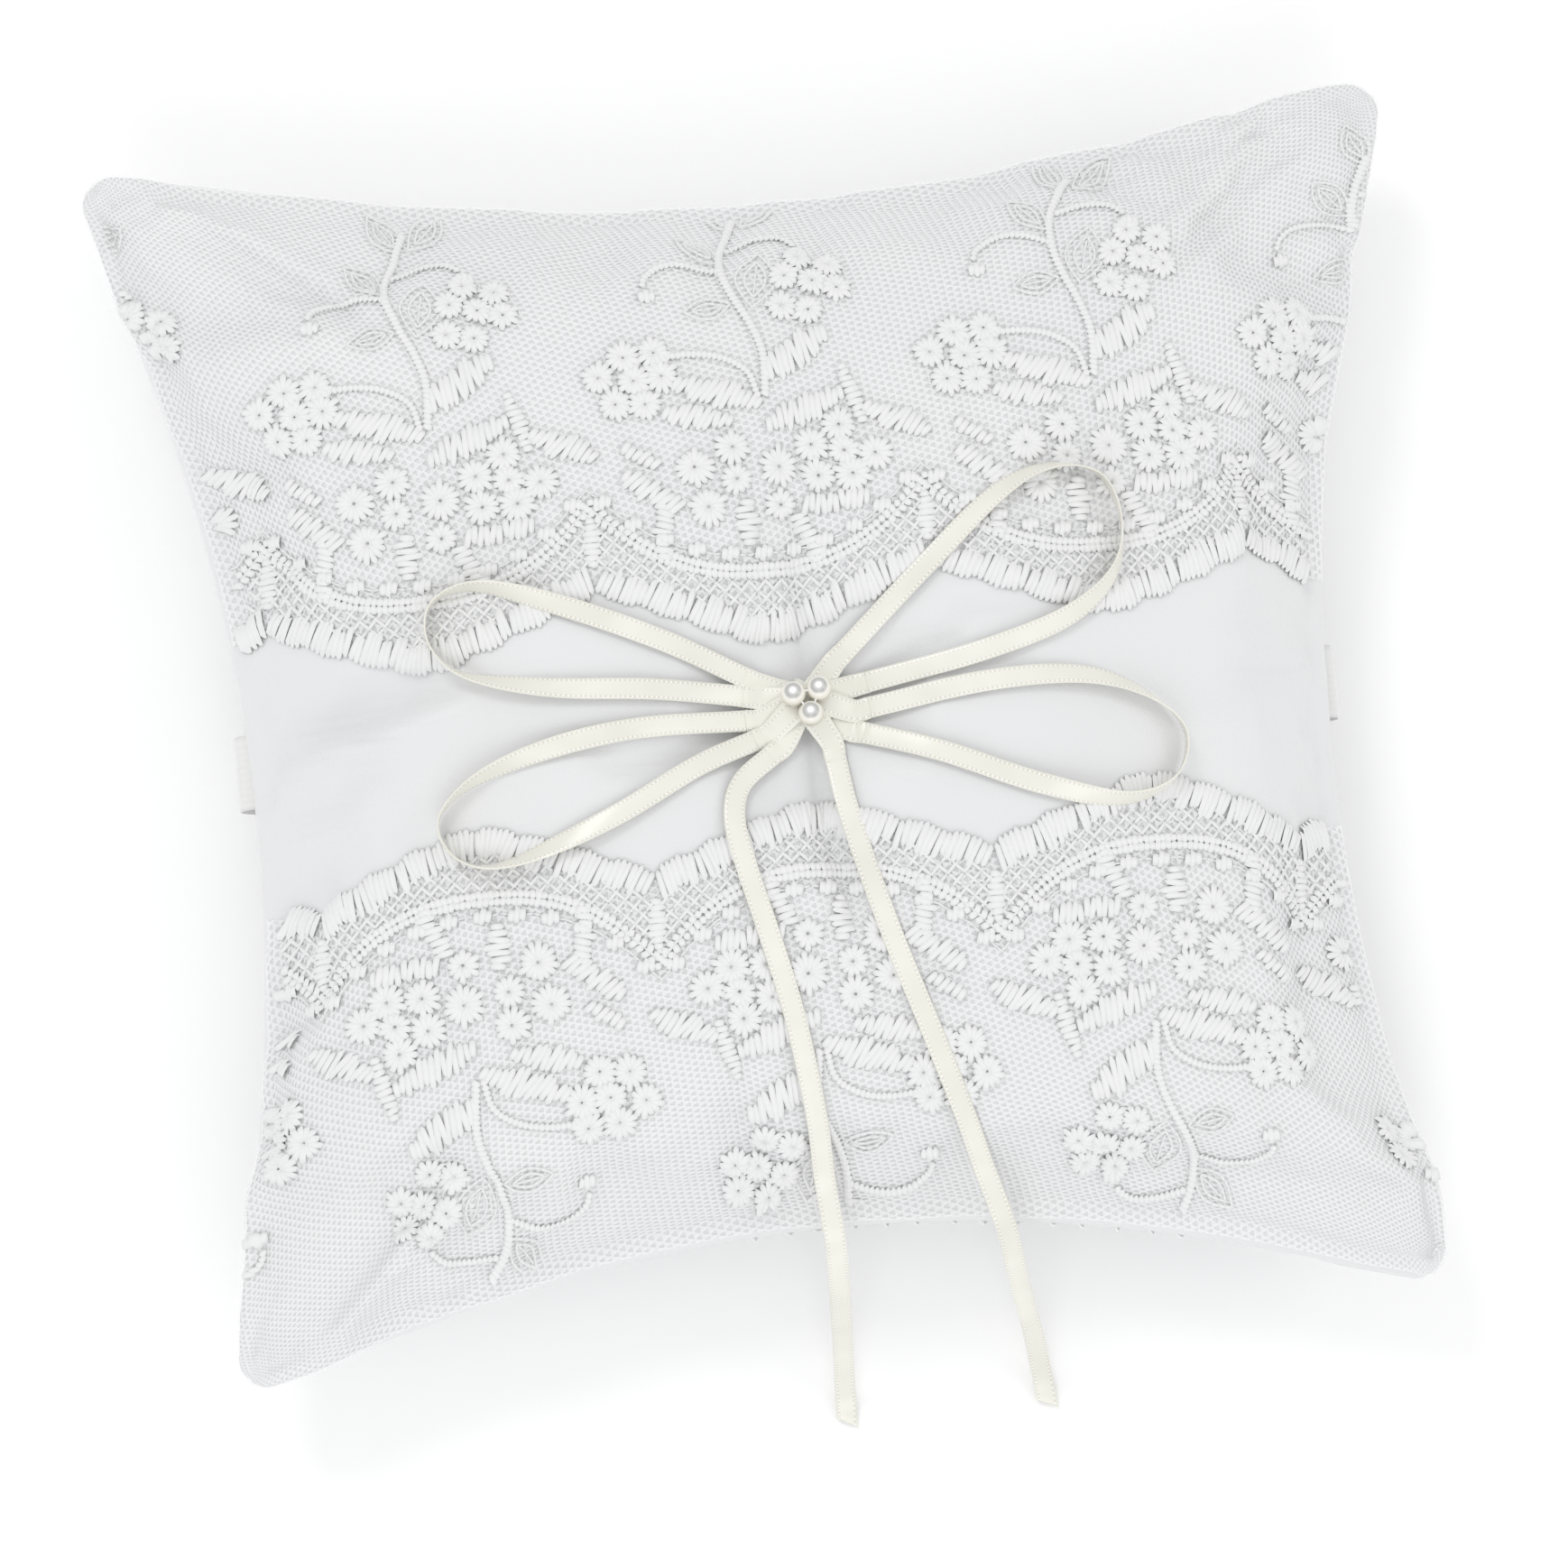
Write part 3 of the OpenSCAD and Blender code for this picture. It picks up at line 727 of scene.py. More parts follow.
def make_closing_stitches(front, thread):
    """Slanted hand stitches over the seam, where the pillow was closed after filling."""
    middle, width, pitch = 0.021, 0.068, 0.005
    stitches = []
    for k in range(14):
        x = middle - width / 2 + k * pitch + 0.0004 * sin(2.3 * k)
        s = grid_place(np.array(x), np.array(-0.08))[0]
        share = float(np.interp(s, cover_line, np.linspace(0, 1, len(cover_line))))
        p = rim_line(front, 1, share, share)[0]
        out = 0.0004 + 0.0001 * cos(1.7 * k)
        lean = 0.0010 + 0.0003 * sin(k)
        arc = [(p[0] - lean, p[1] + 0.0010, p[2] + 0.0015), (p[0] - 0.5 * lean, p[1], p[2] + 0.0009),
               (p[0], p[1] - out, p[2]), (p[0] + 0.5 * lean, p[1], p[2] - 0.0009),
               (p[0] + lean, p[1] + 0.0010, p[2] - 0.0015)]
        stitches.append(tube_mesh("stitch", smooth_line(arc, 4), 0.00022))
    row = joined("closing_thread", stitches)
    dressed(row, thread, "closing_stitches")


def round_tips(grid, s, t):
    """Draws each corner tip of the cover in to a quarter circle."""
    over = [np.clip(np.abs(a) - (1 - TIP_ROUND), 0, None) / TIP_ROUND for a in (s, t)]
    for axis, (a, b) in enumerate((over, over[::-1])):
        sign = np.sign((s, t)[axis])
        grid[..., axis] -= sign * a * (1 - np.sqrt(1 - b * b / 2)) * TIP_ROUND * SIDE / 2


# ==================================================================== lace

def edge_height(u):
    """Height of a scallop's edge above its rounded tip, u to the side of it, in millimetres."""
    return SCALLOP_H * (np.hypot(u, TIP_SOFT) - TIP_SOFT) / (np.hypot(SCALLOP_W / 2, TIP_SOFT) - TIP_SOFT)


def scallop(x, start, shift):
    """Height in plan of a panel's scalloped edge, in millimetres."""
    u = x - shift
    return start + edge_height(u - SCALLOP_W * np.round(u / SCALLOP_W))


def make_net(name, surface, start, shift, way, node):
    columns, rows, hold = 180, 80, 0.993
    s = np.sin(np.linspace(-1, 1, columns) * pi / 2) * hold
    t = np.full_like(s, way * start * MM / (SIDE / 2))
    for _ in range(12):
        edge = way * (scallop(way * plan(s, t)[0] / MM, start, way * shift) + 1.3) * MM
        t = edge / np.abs(plan(s, np.full_like(s, way * 1.0))[1])
    share = np.sin(np.linspace(0, 1, rows) * pi / 2)[:, None]
    t = t[None] + (way * hold - t[None]) * share
    s = np.broadcast_to(s, t.shape)
    points, normals = surface.read(s, t)
    flat = np.stack([flat_cut(s), flat_cut(t)], -1) * SIDE / 2
    net = new_mesh(name, (points + 0.0003 * normals).reshape(-1, 3),
                   grid_quads(rows, columns, flip=way < 0), flat.reshape(-1, 2))
    dressed(net, net_material(), node)


class Stitches:
    """Embroidery threads in a motif's own millimetres: both ends, width, lowest height and rise."""

    def __init__(self):
        self.rows = []

    def thread(self, a, b, width=STITCH, low=0.22, rise=0.36):
        self.rows.append((a[0], a[1], b[0], b[1], width, low, rise))

    def leaf(self, a, b, width, blunt=0.5, slant=20, ragged=0.22):
        """Side-by-side stitches across a line from a to b, longest in the middle."""
        a, b = np.array(a), np.array(b)
        axis = b - a
        length = np.linalg.norm(axis)
        axis = axis / length
        across = turned(axis, radians(90 - slant))
        count = max(3, round(length / (1.04 * STITCH)))
        for i in range(count):
            u = (i + 0.5) / count
            half = width / 2 * max(0.25, sin(pi * u)) ** blunt
            middle = a + axis * length * u
            first, last = half * (1 + ragged * RNG.uniform(-1, 1, 2))
            swing = 0.16 * RNG.uniform(-1, 1) * axis * half
            self.thread(middle - across * first - swing, middle + across * last + swing,
                        rise=0.34 + 0.3 * RNG.random())

    def limb(self, a, b, width=2.4):
        self.leaf(a, b, width, blunt=0.12, slant=12, ragged=0.30)

    def dot(self, middle, r, slant=0):
        u, v = middle
        self.leaf((u - r, v), (u + r, v), 2 * r, blunt=0.5, slant=slant, ragged=0.08)

    def flower(self, middle, r=2.9, hole=0.22, petals=6):
        """Stitches fanned round a small eye."""
        u, v = middle
        count = round(2 * pi * r * 0.68 / STITCH)
        begin = RNG.uniform(0, pi)
        for i in range(count):
            turn = begin + 2 * pi * i / count
            reach = r * (0.86 + 0.14 * abs(sin(petals / 2 * turn))) * (1 + 0.13 * RNG.uniform(-1, 1))
            way = np.array([cos(turn), sin(turn)])
            self.thread((u, v) + hole * way, (u, v) + reach * way, rise=0.36 + 0.26 * RNG.random())

    def rope(self, points, width=1.15):
        """A corded line: short slanted stitches over a run of thread."""
        line = smooth_line(points, 8)
        run = run_along(line)
        for d in np.arange(0.2, run[-1], 0.86 * STITCH):
            p, q = at_distance(line, run, d), at_distance(line, run, d + 0.1)
            along = (q - p) / max(np.linalg.norm(q - p), 1e-6)
            across = turned(along, radians(58)) * width / 2
            self.thread(p - across, p + across, rise=0.34)

    def line(self, points, width=0.34, step=1.1):
        """A fine run of thread."""
        line = smooth_line(points, 8)
        run = run_along(line)
        at = at_distance(line, run, np.linspace(0, run[-1], max(2, round(run[-1] / step) + 1)))
        for p, q in zip(at, at[1:]):
            self.thread(p - 0.08 * (q - p), q + 0.08 * (q - p), width, low=0.2, rise=0.12)

    def outline_leaf(self, a, b, width):
        """A leaf drawn in two nested outlines and a rib."""
        a, b = np.array(a), np.array(b)
        axis = b - a
        across = np.array([-axis[1], axis[0]]) / np.linalg.norm(axis)
        for inner in (0.0, 0.30):
            start, end = a + inner * 0.6 * axis, b - inner * 0.6 * axis
            for side in (-1, 1):
                bend = side * (width / 2) * (1 - 1.5 * inner)
                self.line([start + (end - start) * u + across * bend * sin(pi * u)
                           for u in (0, 0.25, 0.5, 0.75, 1)], width=0.42)
        self.line([a + 0.25 * axis, a + 0.75 * axis])

    def tendril(self, points, ball):
        self.rope(points, width=1.0)
        self.dot(ball, 1.25)


def smooth_line(points, steps):
    """A smooth line through given points, with so many steps between each two."""
    p = np.asarray(points, float)
    p = np.concatenate([[2 * p[0] - p[1]], p, [2 * p[-1] - p[-2]]])
    u = (np.arange(steps) / steps)[:, None]
    parts = []
    for a, b, c, d in zip(p, p[1:], p[2:], p[3:]):
        parts.append(0.5 * (2 * b + (c - a) * u + (2 * a - 5 * b + 4 * c - d) * u ** 2
                            + (3 * b - a - 3 * c + d) * u ** 3))
    return np.concatenate([*parts, p[-2:-1]])


BRAID_LOW, BRAID_RISE, BRAID_POWER = 10.4, 12.4, 2.5
BAND_W = 4.3
LOBE_W = SCALLOP_W / 8


def braid(u):
    """Height of the inner braid above a scallop's tip."""
    return BRAID_LOW + BRAID_RISE * (abs(u) / (SCALLOP_W / 2)) ** BRAID_POWER


def edge_band(st):
    """The buttonhole edge: stitches fanned over small lobes."""
    half = SCALLOP_W / 2
    for u in np.arange(-half, half, 0.90 * STITCH):
        v = edge_height(u)
        slope = (edge_height(u + 0.1) - edge_height(u - 0.1)) / 0.2
        normal = np.array([-slope, 1]) / np.hypot(slope, 1)
        in_lobe = ((u + half) / LOBE_W) % 1 - 0.5
        fan = 0.14 - 0.14 * in_lobe + 0.09 * RNG.uniform(-1, 1)
        way = turned(normal, -fan)
        lobe = 0.75 * cos(pi * in_lobe) + 0.22 * RNG.uniform(-1, 1)
        inner = BAND_W + 0.75 * RNG.uniform(-1, 1)
        base = np.array([u, v])
        st.thread(base - lobe * normal, base + inner * way, rise=0.38 + 0.30 * RNG.random())


def lattice(st):
    """The open diamond ground between the edge and the braid."""
    half, pitch = SCALLOP_W / 2, 2.6
    step = pitch / 2 ** 0.5
    for sign in (-1, 1):
        for k in range(-40, 41):
            for j in range(0, 22):
                u0, v0 = k * pitch * 0.98 - sign * j * step + sign * 14, j * step
                u1, v1 = u0 - sign * step, v0 + step
                um, vm = (u0 + u1) / 2, (v0 + v1) / 2
                if abs(um) > half:
                    continue
                if edge_height(um) + BAND_W - 0.8 < vm < braid(um) + 0.2:
                    st.thread((u0, v0), (u1, v1), 0.52, low=0.2, rise=0.16)


def braid_rows(st):
    """The two-sided braid, the row of dots along it and the pads where two scallops meet."""
    half = SCALLOP_W / 2
    for u in np.arange(-half, half, 0.92 * STITCH):
        slope = BRAID_POWER * BRAID_RISE * (abs(u) / half) ** (BRAID_POWER - 1) / half * np.sign(u)
        normal = np.array([-slope, 1]) / np.hypot(slope, 1)
        tangent = np.array([normal[1], -normal[0]])
        for side in (-1, 1):
            middle = np.array([u, braid(u)]) + side * 0.56 * normal
            reach = (0.62 + 0.16 * RNG.uniform(-1, 1)) * normal + side * 0.30 * tangent
            st.thread(middle - reach, middle + reach, rise=0.36)
    for u in (-24.0, -19.6, -15.0, -10.2, -5.2, 0, 5.2, 10.2, 15.0, 19.6, 24.0):
        st.dot((u, braid(u) + 2.7), 1.3, slant=10)
        st.line([(u - 2.4, braid(u - 2.4) + 2.4), (u, braid(u) + 2.7), (u + 2.4, braid(u + 2.4) + 2.4)])
        st.line([(u, braid(u) + 0.8), (u, braid(u) + 2.2)])
    st.leaf((-half, 13.0), (-half, 20.6), 3.2, slant=0)


def flower_group(st):
    """The lower bouquet."""
    st.leaf((-2, 14.3), (-2, 21.3), 4.2, blunt=0.4, slant=4)
    st.limb((-14.8, 21.9), (-15.6, 13.1), 3.0)
    st.limb((6, 18.5), (9.3, 11.1), 3.0)
    for middle, r in (((-9.3, 27.3), 3.3), ((-7.8, 20.8), 3.3), ((-3.1, 29.9), 3.0), ((3.9, 26.1), 3.4),
                      ((-3.0, 24.8), 2.7), ((3.6, 20.1), 2.7), ((9.6, 29.3), 3.0), ((10.2, 24.3), 3.0),
                      ((14.2, 32.3), 3.0), ((15.6, 24.3), 3.2), ((19.4, 27.3), 3.0), ((14.6, 28.1), 2.6)):
        st.flower(middle, r)
    st.limb((7.2, 19.7), (17.8, 20.5), 3.3)
    st.limb((-20.2, 27.1), (-12.4, 20.7), 3.8)
    st.limb((-20, 31.5), (-14.8, 27.9), 2.6)


def leaf_group(st):
    """Stitched leaves and the cluster of dots to their left."""
    st.leaf((-10.9, 41.3), (2.2, 36.5), 5.2)
    st.leaf((-13.2, 36.5), (-2.6, 34.1), 4.4)
    st.leaf((3, 41.5), (13.8, 48.1), 6.0)
    st.leaf((2.6, 32.7), (15.4, 37.5), 5.2)
    st.leaf((15.4, 42.1), (18.2, 32.3), 3.0, slant=0)
    st.leaf((18.4, 35.1), (28.4, 30.3), 4.6)
    for middle in ((-18.4, 46.1), (-13.6, 46.5), (-22.6, 43.1), (-17.2, 42.1), (-12.8, 42.5), (-20.4, 38.5),
                   (-15.8, 38.1)):
        st.flower(middle, 2.85, hole=0.15)
    st.rope([(-12.5, 45.5), (-7.8, 45.7), (-3.1, 44.7), (0.6, 42.1), (1.8, 37.9)])


def stem_group(st):
    """The stem with its outline leaves, dots and tendrils."""
    st.rope([(3, 37.9), (3.4, 44.9), (2.1, 50.1), (0.2, 54.8), (-1.1, 59.9), (-0.9, 65.2), (1.2, 70.2),
             (3.4, 75.2)], width=1.5)
    st.outline_leaf((2.8, 53), (5.2, 62.6), 6.2)
    st.outline_leaf((5.2, 55), (9.8, 50.6), 3.4)
    st.outline_leaf((-8, 53), (-0.5, 54.1), 3.8)
    st.outline_leaf((-6.9, 69.6), (-1.4, 63), 4.4)
    st.outline_leaf((2.1, 71.2), (-1, 79.2), 4.6)
    st.outline_leaf((3.8, 71.8), (10.5, 78.2), 4.4)
    for middle in ((11.0, 61.6), (15.8, 60.2), (8.6, 58), (12.8, 56.8), (16.6, 55.6), (7.4, 52.8),
                   (11.6, 51.8)):
        st.flower(middle, 2.6, hole=0.15)
    st.tendril([(-1.4, 60.5), (-5.9, 62.1), (-10.3, 62), (-13.1, 60.3), (-13.9, 58.1)], (-13.4, 56.5))
    st.tendril([(0.4, 66.2), (4.7, 67), (8.6, 66.8), (11.2, 64.8)], (11.6, 63.2))


def scallop_stitches():
    """Every stitch of one repeat of the lace."""
    st = Stitches()
    for draw in (edge_band, lattice, braid_rows, flower_group, leaf_group, stem_group):
        draw(st)
    return np.array(st.rows)


THREAD_RUN = np.array([0, 0.12, 0.5, 0.88, 1])
THREAD_WIDTH = np.array([0.35, 1, 1.06, 1, 0.35])
THREAD_ARCH = np.array([0, 0.78, 1, 0.78, 0])
THREAD_SIDE = np.array([-0.5, -0.26, 0.26, 0.5])
THREAD_TOP = np.array([0, 1, 1, 0])
THREAD_T = 0.26


def make_embroidery(name, repeat, surface, start, shift, way):
    """The repeat laid along a panel: way is 1 for the upper one, -1 for the lower, which is turned round."""
    rows = []
    for k in range(-2, 3):
        r = repeat.copy()
        r[:, [0, 2]] += k * SCALLOP_W
        r[:, [0, 2]] = r[:, [0, 2]] * way + shift
        r[:, [1, 3]] = way * (r[:, [1, 3]] + start)
        rows.append(r)
    rows = np.concatenate(rows)
    keep = np.ones(len(rows), bool)
    for i in (0, 2):
        s, t = grid_place(rows[:, i] * MM, rows[:, i + 1] * MM)
        keep &= (np.abs(s) < 0.986) & (np.abs(t) < 0.984)
    rows = rows[keep]
    a, b, width, low, rise = rows[:, 0:2], rows[:, 2:4], rows[:, 4], rows[:, 5], rows[:, 6]
    along = b - a
    across = np.stack([-along[:, 1], along[:, 0]], 1) / np.linalg.norm(along, axis=1)[:, None]
    spine = a[:, None] + along[:, None] * THREAD_RUN[:, None]
    side = width[:, None, None] * THREAD_WIDTH[None, :, None] * THREAD_SIDE[None, None, :]
    place = spine[:, :, None] + side[..., None] * across[:, None, None]
    arch = rise[:, None, None] * THREAD_ARCH[None, :, None]
    body = THREAD_T * THREAD_TOP[None, None, :] * (0.45 + 0.55 * THREAD_ARCH[None, :, None])
    height = low[:, None, None] + arch + body
    verts = surface.above(place[..., 0] * MM, place[..., 1] * MM, height * MM).reshape(-1, 3)
    runs, sides = len(THREAD_RUN), len(THREAD_SIDE)
    quads = grid_quads(runs, sides, flip=True)[None] + np.arange(len(rows))[:, None, None] * runs * sides
    piece = new_mesh(name, verts, quads.reshape(-1, 4))
    piece.data.materials.append(stitch_material())
    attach(piece, "pillow")
    return piece


# ==================================================================== ribbon

# The free ribbon's routes, as in the part's source: millimetres, the last number above the cloth
LOOPS = {
    "loop_upper_left": ("loop_ul", [
        (-9, 4.4, 1.4), (-22, 11, 1.4), (-38, 18, 1.6), (-50, 22, 2.2), (-57, 20, 2.6), (-58, 14, 2.8),
        (-53, 8.5, 2.4), (-40, 5, 1.6), (-24, 3.4, 1.4), (-9.6, 1.6, 1.4)]),
    "loop_lower_left": ("loop_ll", [
        (-9.6, -2.2, 1.4), (-28, -2.6, 1.4), (-43, -5, 1.6), (-54, -9, 2.2), (-59, -14.5, 2.8),
        (-56, -20.5, 2.6), (-48, -21.5, 2.2), (-32, -16, 1.6), (-18, -9, 1.4), (-8.4, -5.4, 1.4)]),
    "loop_upper_right": ("loop_ur", [
        (6.6, 7.2, 1.4), (20, 19, 1.4), (33, 30, 1.6), (42, 33.6, 2.2), (49.5, 31.5, 2.6), (52, 24, 2.8),
        (50, 16, 2.6), (42, 9.5, 1.8), (28, 5.2, 1.4), (9.6, 2.2, 1.4)]),
    "loop_lower_right": ("loop_lr", [
        (9.7, -1.8, 1.4), (29, 0.4, 1.4), (44, 0, 1.6), (54, -4, 2.2), (59, -10, 2.8), (56.5, -17, 2.6),
        (48, -19.8, 2.2), (35, -16.5, 1.6), (20, -10, 1.4), (8.4, -5.6, 1.4)]),
}
TIES = {
    "ring_tie_left": ("tie_left", [
        (-5.9, -7.8, 1.6), (-11.4, -12.2, 1.5), (-13.2, -17.5, 1.4), (-12.2, -25, 1.4), (-9.6, -36, 1.4),
        (-6.8, -48, 1.4), (-4.4, -63, 1.6), (-3.2, -74, 2)], [
        (-2.3, -83, 38.5), (-1.6, -89.5, 30.5), (-0.9, -95, 21), (-0.3, -100, 12), (0.1, -104.5, 5),
        (0.3, -108.5, 1.5), (0.2, -112, 0.7)]),
    "ring_tie_right": ("tie_right", [
        (3.7, -9, 1.6), (5, -19, 1.4), (9, -36, 1.4), (14.9, -54, 1.4), (19, -66, 1.6), (21.8, -74, 2)], [
        (24.6, -83, 38.5), (26.6, -89.5, 30.5), (28.6, -95, 21), (30.6, -100, 12), (32, -104.5, 5),
        (32.9, -108.5, 1.5), (33.3, -112, 0.7)]),
}
PICOT = 0.00036
PICOT_OUT = 0.00012
RIBBON_COLUMNS = np.array([-0.5, -0.46, -0.34, -0.17, 0, 0.17, 0.34, 0.46, 0.5])


def resampled(line, step):
    """The line with points one step apart."""
    run = run_along(line)
    at = np.linspace(0, run[-1], max(2, round(run[-1] / step) + 1))
    return at_distance(line, run, at), at


def softened(values, passes):
    """Values along a line, averaged with their neighbours; the ends stay."""
    values = values.copy()
    for _ in range(passes):
        values[1:-1] = (values[:-2] + 2 * values[1:-1] + values[2:]) / 4
    return values


def laid_line(surface, route, drop=()):
    """A route on the cloth, and the drop beyond it, as a fine smooth line in metres."""
    x, y, h = np.array(route).T * MM
    on_cloth = surface.above(x, y, np.zeros_like(x))[:, 2] + h
    points = list(zip(x, y, on_cloth)) + [(a * MM, b * MM, c * MM) for a, b, c in drop]
    line = smooth_line(points, 12)
    # Wherever the smooth line would dip into the cloth, it is lifted clear of it
    least = np.interp(np.arange(len(line)), np.arange(len(h)) * 12, h - 0.0003)
    clear = surface.above(line[:, 0], line[:, 1], np.zeros(len(line)))[:, 2] + least
    over = np.abs(grid_place(line[:, 0], line[:, 1])[1]) < 0.985
    for _ in range(6):
        line[over, 2] = np.maximum(line[over, 2], clear[over])
        line[:, 2] = softened(line[:, 2], 3)
    return line


def ribbon_mesh(name, line, roll=None, width=None, cut=0.0, sag=0.0):
    """A flat ribbon along a line: roll turns it on edge, cut slants its far end, sag bows it across."""
    line, run = resampled(line, PICOT)
    n = len(line)
    u = run / run[-1]
    along = units(np.gradient(line, axis=0))
    side = units(np.cross([0, 0, 1], along))
    up = np.cross(along, side)
    turn = np.radians(roll(u)) if roll else np.zeros(n)
    w = np.cos(turn)[:, None] * side + np.sin(turn)[:, None] * up
    h = np.cos(turn)[:, None] * up - np.sin(turn)[:, None] * side
    wide = (RIBBON_W + 2 * PICOT_OUT) * (width(u) if width else np.ones(n))
    tooth = np.where(np.arange(n) % 2 == 0, 1.0, 0.955)
    taper = np.clip(np.minimum(run, run[-1] - run) / 0.001, 0.15, 1)
    slant = 2 * abs(cut) * RIBBON_W
    shift = cut * np.clip((u * run[-1] - (run[-1] - slant)) / (slant + 1e-9), 0, 1)
    verts, uv = [], []
    for face in (1, -1):
        for v in RIBBON_COLUMNS:
            edge = abs(v) == 0.5
            thick = (0.25 if edge else 1.0) * taper
            across = v * wide * (tooth if edge else 1.0)
            bow = sag * (1 - (2 * v) ** 2) * wide
            verts.append(line + w * across[:, None] + h * (face * thick * RIBBON_T / 2 + bow)[:, None]
                         + along * (shift * v * RIBBON_W)[:, None])
            uv.append(np.stack([run, across], 1))
    verts, uv = np.array(verts), np.array(uv)
    columns = len(RIBBON_COLUMNS)
    ring = list(range(columns)) + list(range(2 * columns - 1, columns - 1, -1))
    points = verts[ring].transpose(1, 0, 2).reshape(-1, 3)
    flat = uv[ring].transpose(1, 0, 2).reshape(-1, 2)
    m = len(ring)
    ends = []
    for start, flip in ((0, 1), ((n - 1) * m, -1)):
        for j in range(columns - 1):
            ends.append([start + j, start + j + 1, start + m - 2 - j, start + m - 1 - j][::flip])
    return new_mesh(name, points, ring_walls(n, m, flip=True) + ends, flat)


def edge_roll(u):
    return -90 * np.sin(pi * u) ** 6


def ribbon_cord(node):
    """Hides the part's own node of a free ribbon of the bow."""
    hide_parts(node)


def make_loops(surface, satin):
    for node, (body, route) in LOOPS.items():
        line = laid_line(surface, route)
        loop = ribbon_mesh("ribbon_" + node, line, roll=edge_roll, sag=0.03)
        loop.data.materials.append(satin)
        way = Vector(line[len(line) // 2]) * Vector((1, 1, 0))
        way.normalize()
        height = float(line[0, 2])
        start, end = way * 0.0078, way * 0.0165
        start.z = end.z = height
        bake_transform(loop)
        ribbon_cord(node)


def make_ties(surface, satin):
    for node, (body, route, drop) in TIES.items():
        line = laid_line(surface, route, drop)
        tail = ribbon_mesh("ribbon_" + node, line, cut=0.55, sag=0.02)
        tail.data.materials.append(satin)
        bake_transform(tail)
        ribbon_cord(node)


def make_gathers(surface, satin):
    """The ten ribbon ends gathered under the pearls, and the pleated middle that they are sewn into."""
    ends = []
    for _, route in LOOPS.values():
        line = laid_line(surface, route)
        ends += [(line[0], line[1] - line[0]), (line[-1], line[-2] - line[-1])]
    for _, route, drop in TIES.values():
        line = laid_line(surface, route, drop)
        ends.append((line[0], line[1] - line[0]))
    strips = []
    for k, (tip, way) in enumerate(ends):
        way = way / np.linalg.norm(way)
        out = np.array([tip[0], tip[1], 0])
        out /= np.linalg.norm(out)
        lift = 0.0518 + 0.00016 * ((3 * k) % len(ends))
        under = np.array([0, 0, 0.00012])
        points = [out * 0.0008 + [0, 0, lift], out * 0.0032 + [0, 0, lift],
                  tip - way * 0.0024 + [0, 0, 0.2 * (lift - tip[2])], tip - under,
                  tip + way * 0.0016 - 1.5 * under]
        line = smooth_line(points, 8)
        strips.append(ribbon_mesh("strip", line, width=lambda u: 1.30 - 0.31 * u, sag=0.035))
    turns, rows = 72, 14
    phi = circle(turns)
    verts = []
    for i in range(rows):
        v = i / (rows - 1)
        angle = -0.5 + v * (pi / 2 + 0.45)
        ruffle = 0.10 * np.sin(11 * phi) + 0.04 * np.sin(23 * phi + 1)
        pleat = 1 + ruffle * cos(angle) ** 0.5 if cos(angle) > 0 else 1
        r = 0.0037 * max(0.02, cos(angle)) * pleat * np.ones_like(phi)
        z = 0.0514 + 0.0019 * sin(angle) + 0.00012 * np.sin(11 * phi) * cos(angle)
        verts.append(np.stack([r * np.cos(phi), r * np.sin(phi), z], 1))
    caps = [list(range(turns))[::-1], [(rows - 1) * turns + j for j in range(turns)]]
    middle = new_mesh("pleats", np.concatenate(verts), ring_walls(rows, turns) + caps)
    gathers = joined("bow_gathers", strips + [middle])
    dressed(gathers, satin, "bow_knot")


# ==================================================================== pearls and threads

PEARL_TURNS = {"pearl_left": 157, "pearl_right": 37, "pearl_front": 277}


def pearl_place(turn):
    """The middle of the pearl that lies at an angle round the cluster."""
    return PEARL_RING_R * cos(turn), PEARL_RING_R * sin(turn), PEARL_Z


def make_pearls():
    lacquer = pearl_material()
    for node, degrees in PEARL_TURNS.items():
        turn = radians(degrees)
        rows, turns = 41, 56
        theta = np.linspace(0.10, pi - 0.10, rows)
        profile = [(PEARL_D / 2 * sin(a), PEARL_D / 2 * cos(a)) for a in theta]
        bore = 0.0004
        profile = [(bore * 0.9, profile[0][1] - 0.0007), (bore * 0.92, profile[0][1] - 0.0001), *profile,
                   (bore * 0.92, profile[-1][1] + 0.0001), (bore * 0.9, profile[-1][1] + 0.0007)]
        phi = circle(turns)
        rings = [np.stack([np.full(turns, d), r * np.cos(phi), r * np.sin(phi)], 1) for r, d in profile]
        last = (len(profile) - 1) * turns
        caps = [list(range(turns)), [last + j for j in range(turns)][::-1]]
        walls = ring_walls(len(profile), turns, flip=True)
        pearl = new_mesh(node + "_bead", np.concatenate(rings), walls + caps)
        # The bores point round the cluster, along the thread
        pearl.data.transform(Matrix.Rotation(turn + radians(90), 4, "Z"))
        pearl.data.transform(Matrix.Translation(pearl_place(turn)))
        dressed(pearl, lacquer, node)


def make_pearl_thread(thread):
    """The thread from bead to bead, and its turns down into the gathers."""
    runs = []
    turns = [radians(d) for d in PEARL_TURNS.values()]
    for a, b in zip(turns, turns[1:] + turns[:1]):
        p, q = np.array(pearl_place(a)), np.array(pearl_place(b))
        lift = np.array([0, 0, 0.0009])
        runs.append(smooth_line([p + 0.18 * (q - p), p + 0.5 * (q - p) + lift, p + 0.82 * (q - p)], 6))
        out = p * [1.75, 1.75, 1]
        low = (p + out) / 2 - [0, 0, 0.0009]
        runs.append(smooth_line([p + [0, 0, 0.0003], low, out - [0, 0, 0.0030]], 5))
    piece = joined("pearl_threads", [tube_mesh("run", r, 0.00016) for r in runs])
    dressed(piece, thread, "pearl_thread")


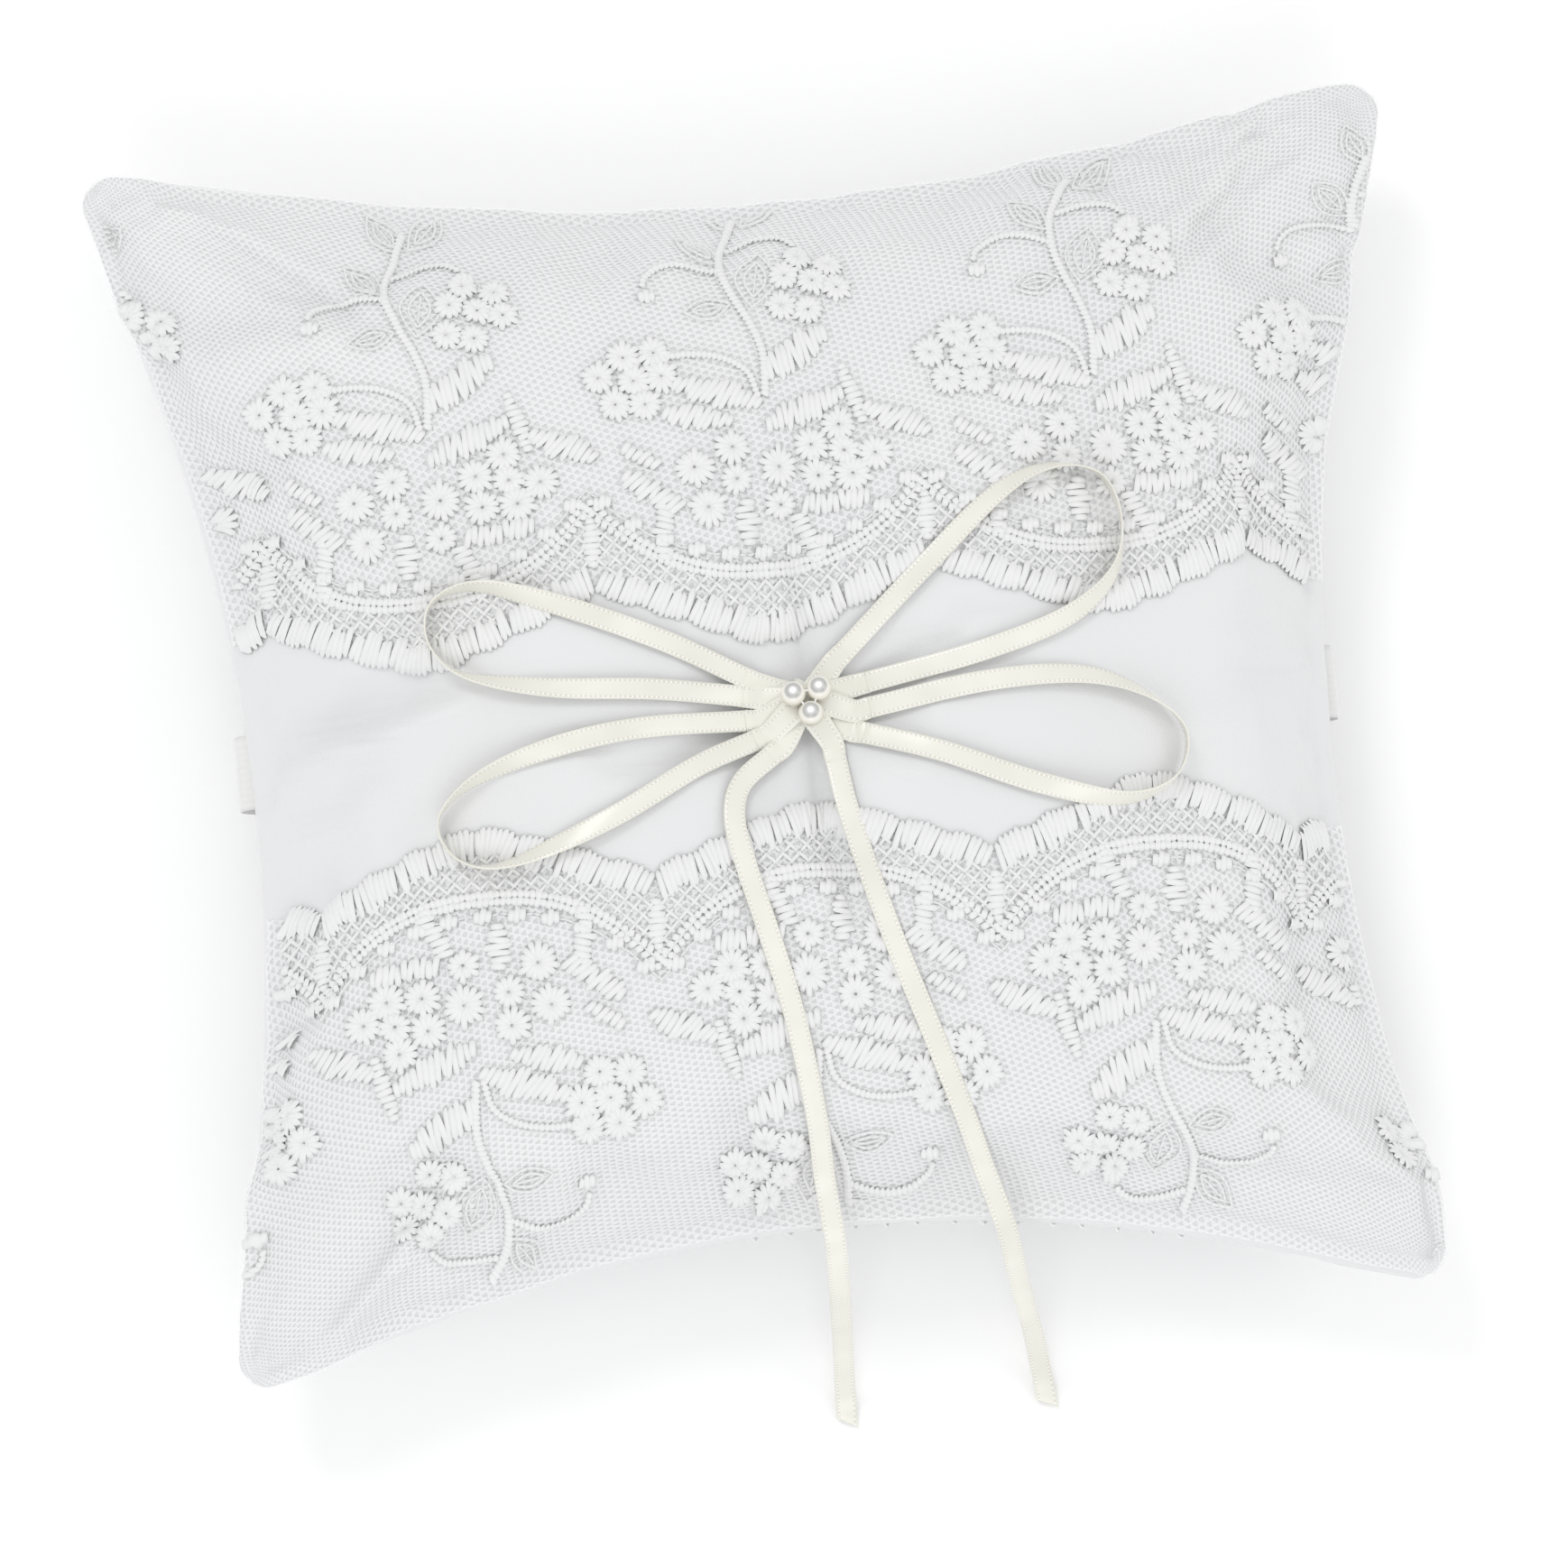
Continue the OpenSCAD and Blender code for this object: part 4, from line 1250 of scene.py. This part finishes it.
def make_tuft_knot(thread):
    """The thread's knot against the back, with two cut ends."""
    low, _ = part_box("tuft_knot")
    centre = np.array([0, 0, low.z + 0.0006])
    u = np.linspace(0, 2 * pi, 61)
    reach = 0.55 + 0.26 * np.cos(3 * u)
    wound = np.stack([reach * np.cos(2 * u), reach * np.sin(2 * u), 0.26 * np.sin(3 * u)], 1) * MM + centre
    tails = [[centre + np.array(p) * MM for p in run] for run in (
        ((0.3, 0, 0.1), (0.9, 0.5, 0.2), (1.5, 1.6, 0.3), (2.6, 2.2, 0.2)),
        ((-0.3, 0, 0.1), (-0.9, 0.2, 0.2), (-1.8, -0.4, 0.3), (-2.4, -1.6, 0.25)))]
    knot = joined("tuft_knot_thread", [tube_mesh("wound", wound, 0.00024)]
                  + [tube_mesh("tail", smooth_line(t, 4), 0.0002) for t in tails])
    dressed(knot, thread, "tuft_knot")


# ==================================================================== hand strap

STRAP_W = 0.012
STRAP_T = 0.0006
STRAP_COLUMNS = 13


def make_strap():
    """Two halves that meet under the middle, each sewn into a side seam; pulling the strap stretches them."""
    elastic = strap_material()
    for name, way, node in (("strap_left", -1, "strap_end_left"), ("strap_right", 1, "strap_end_right")):
        s = np.sin(np.linspace(0, 1, 46) * pi / 2) * way
        p = cover_point(s, np.zeros_like(s), front=False)
        fall = SEAM_H - (BACK_DROP + 0.0002) * puff(s, np.zeros_like(s))
        x, z = p[:, 0], np.maximum(STRAP_T / 2, fall)
        proud = 0.0024 * np.exp(-((SEAM_H - 0.0035 - z) / 0.0045) ** 2)
        line = np.stack([x + way * proud, np.zeros_like(x), z - 0.0002 * (z > 0.002)], 1)
        line = np.concatenate([line, [line[-1] - [way * 0.0030, 0, -0.0002]]])
        line, run = resampled(line, 0.0012)
        # A first step so short that the shading of the end face doesn't show where the halves meet
        line = np.insert(line, 1, line[0] + 0.02 * (line[1] - line[0]), axis=0)
        run = np.insert(run, 1, 0.02 * run[1])
        up = np.cross(units(np.gradient(line, axis=0)), [0, way, 0])
        shares = np.linspace(-0.5, 0.5, STRAP_COLUMNS)
        layers = []
        for face in (1, -1):
            for v in shares:
                thick = 0.35 if abs(v) == 0.5 else 1.0
                layers.append(line + [0, v * STRAP_W, 0] + up * face * thick * STRAP_T / 2)
        ring = list(range(STRAP_COLUMNS)) + list(range(2 * STRAP_COLUMNS - 1, STRAP_COLUMNS - 1, -1))
        points = np.array(layers)[ring].transpose(1, 0, 2).reshape(-1, 3)
        across = np.tile(shares, 2)[ring] * STRAP_W
        flat = np.array([np.stack([run, np.full(len(run), v)], 1) for v in across])
        flat = flat.transpose(1, 0, 2).reshape(-1, 2)
        n, m = len(line), len(ring)
        ends = [[start + j, start + m - 1 - j, start + m - 2 - j, start + j + 1][::flip]
                for start, flip in ((0, 1), ((n - 1) * m, -1)) for j in range(STRAP_COLUMNS - 1)]
        strap = new_mesh(name, points, ring_walls(n, m) + ends, flat)
        strap.data.materials.append(elastic)
        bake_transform(strap)
        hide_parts(node, "hand_strap")


# ==================================================================== assembly

make_camera()
front_grid, back_grid = cover_grids()
top = Surface(cover_line, front_grid)
ivory = ribbon_material()
make_loops(top, ivory)
make_ties(top, ivory)
make_gathers(top, ivory)

make_cover(front_grid, back_grid)
make_filling()
white_thread = thread_material()
make_seam_thread(front_grid, white_thread)
make_closing_stitches(front_grid, white_thread)

repeat = scallop_stitches()
upper = make_embroidery("upper_embroidery", repeat, top, UPPER_START, UPPER_SHIFT, 1)
lower = make_embroidery("lower_embroidery", repeat, top, LOWER_START, LOWER_SHIFT, -1)
make_net("upper_net", top, UPPER_START, UPPER_SHIFT, 1, "upper_lace_panel")
make_net("lower_net", top, LOWER_START, LOWER_SHIFT, -1, "lower_lace_panel")

make_pearls()
make_pearl_thread(white_thread)
make_tuft_knot(white_thread)
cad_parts["tuft_thread"].data.materials.clear()
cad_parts["tuft_thread"].data.materials.append(white_thread)
make_strap()
make_stage()
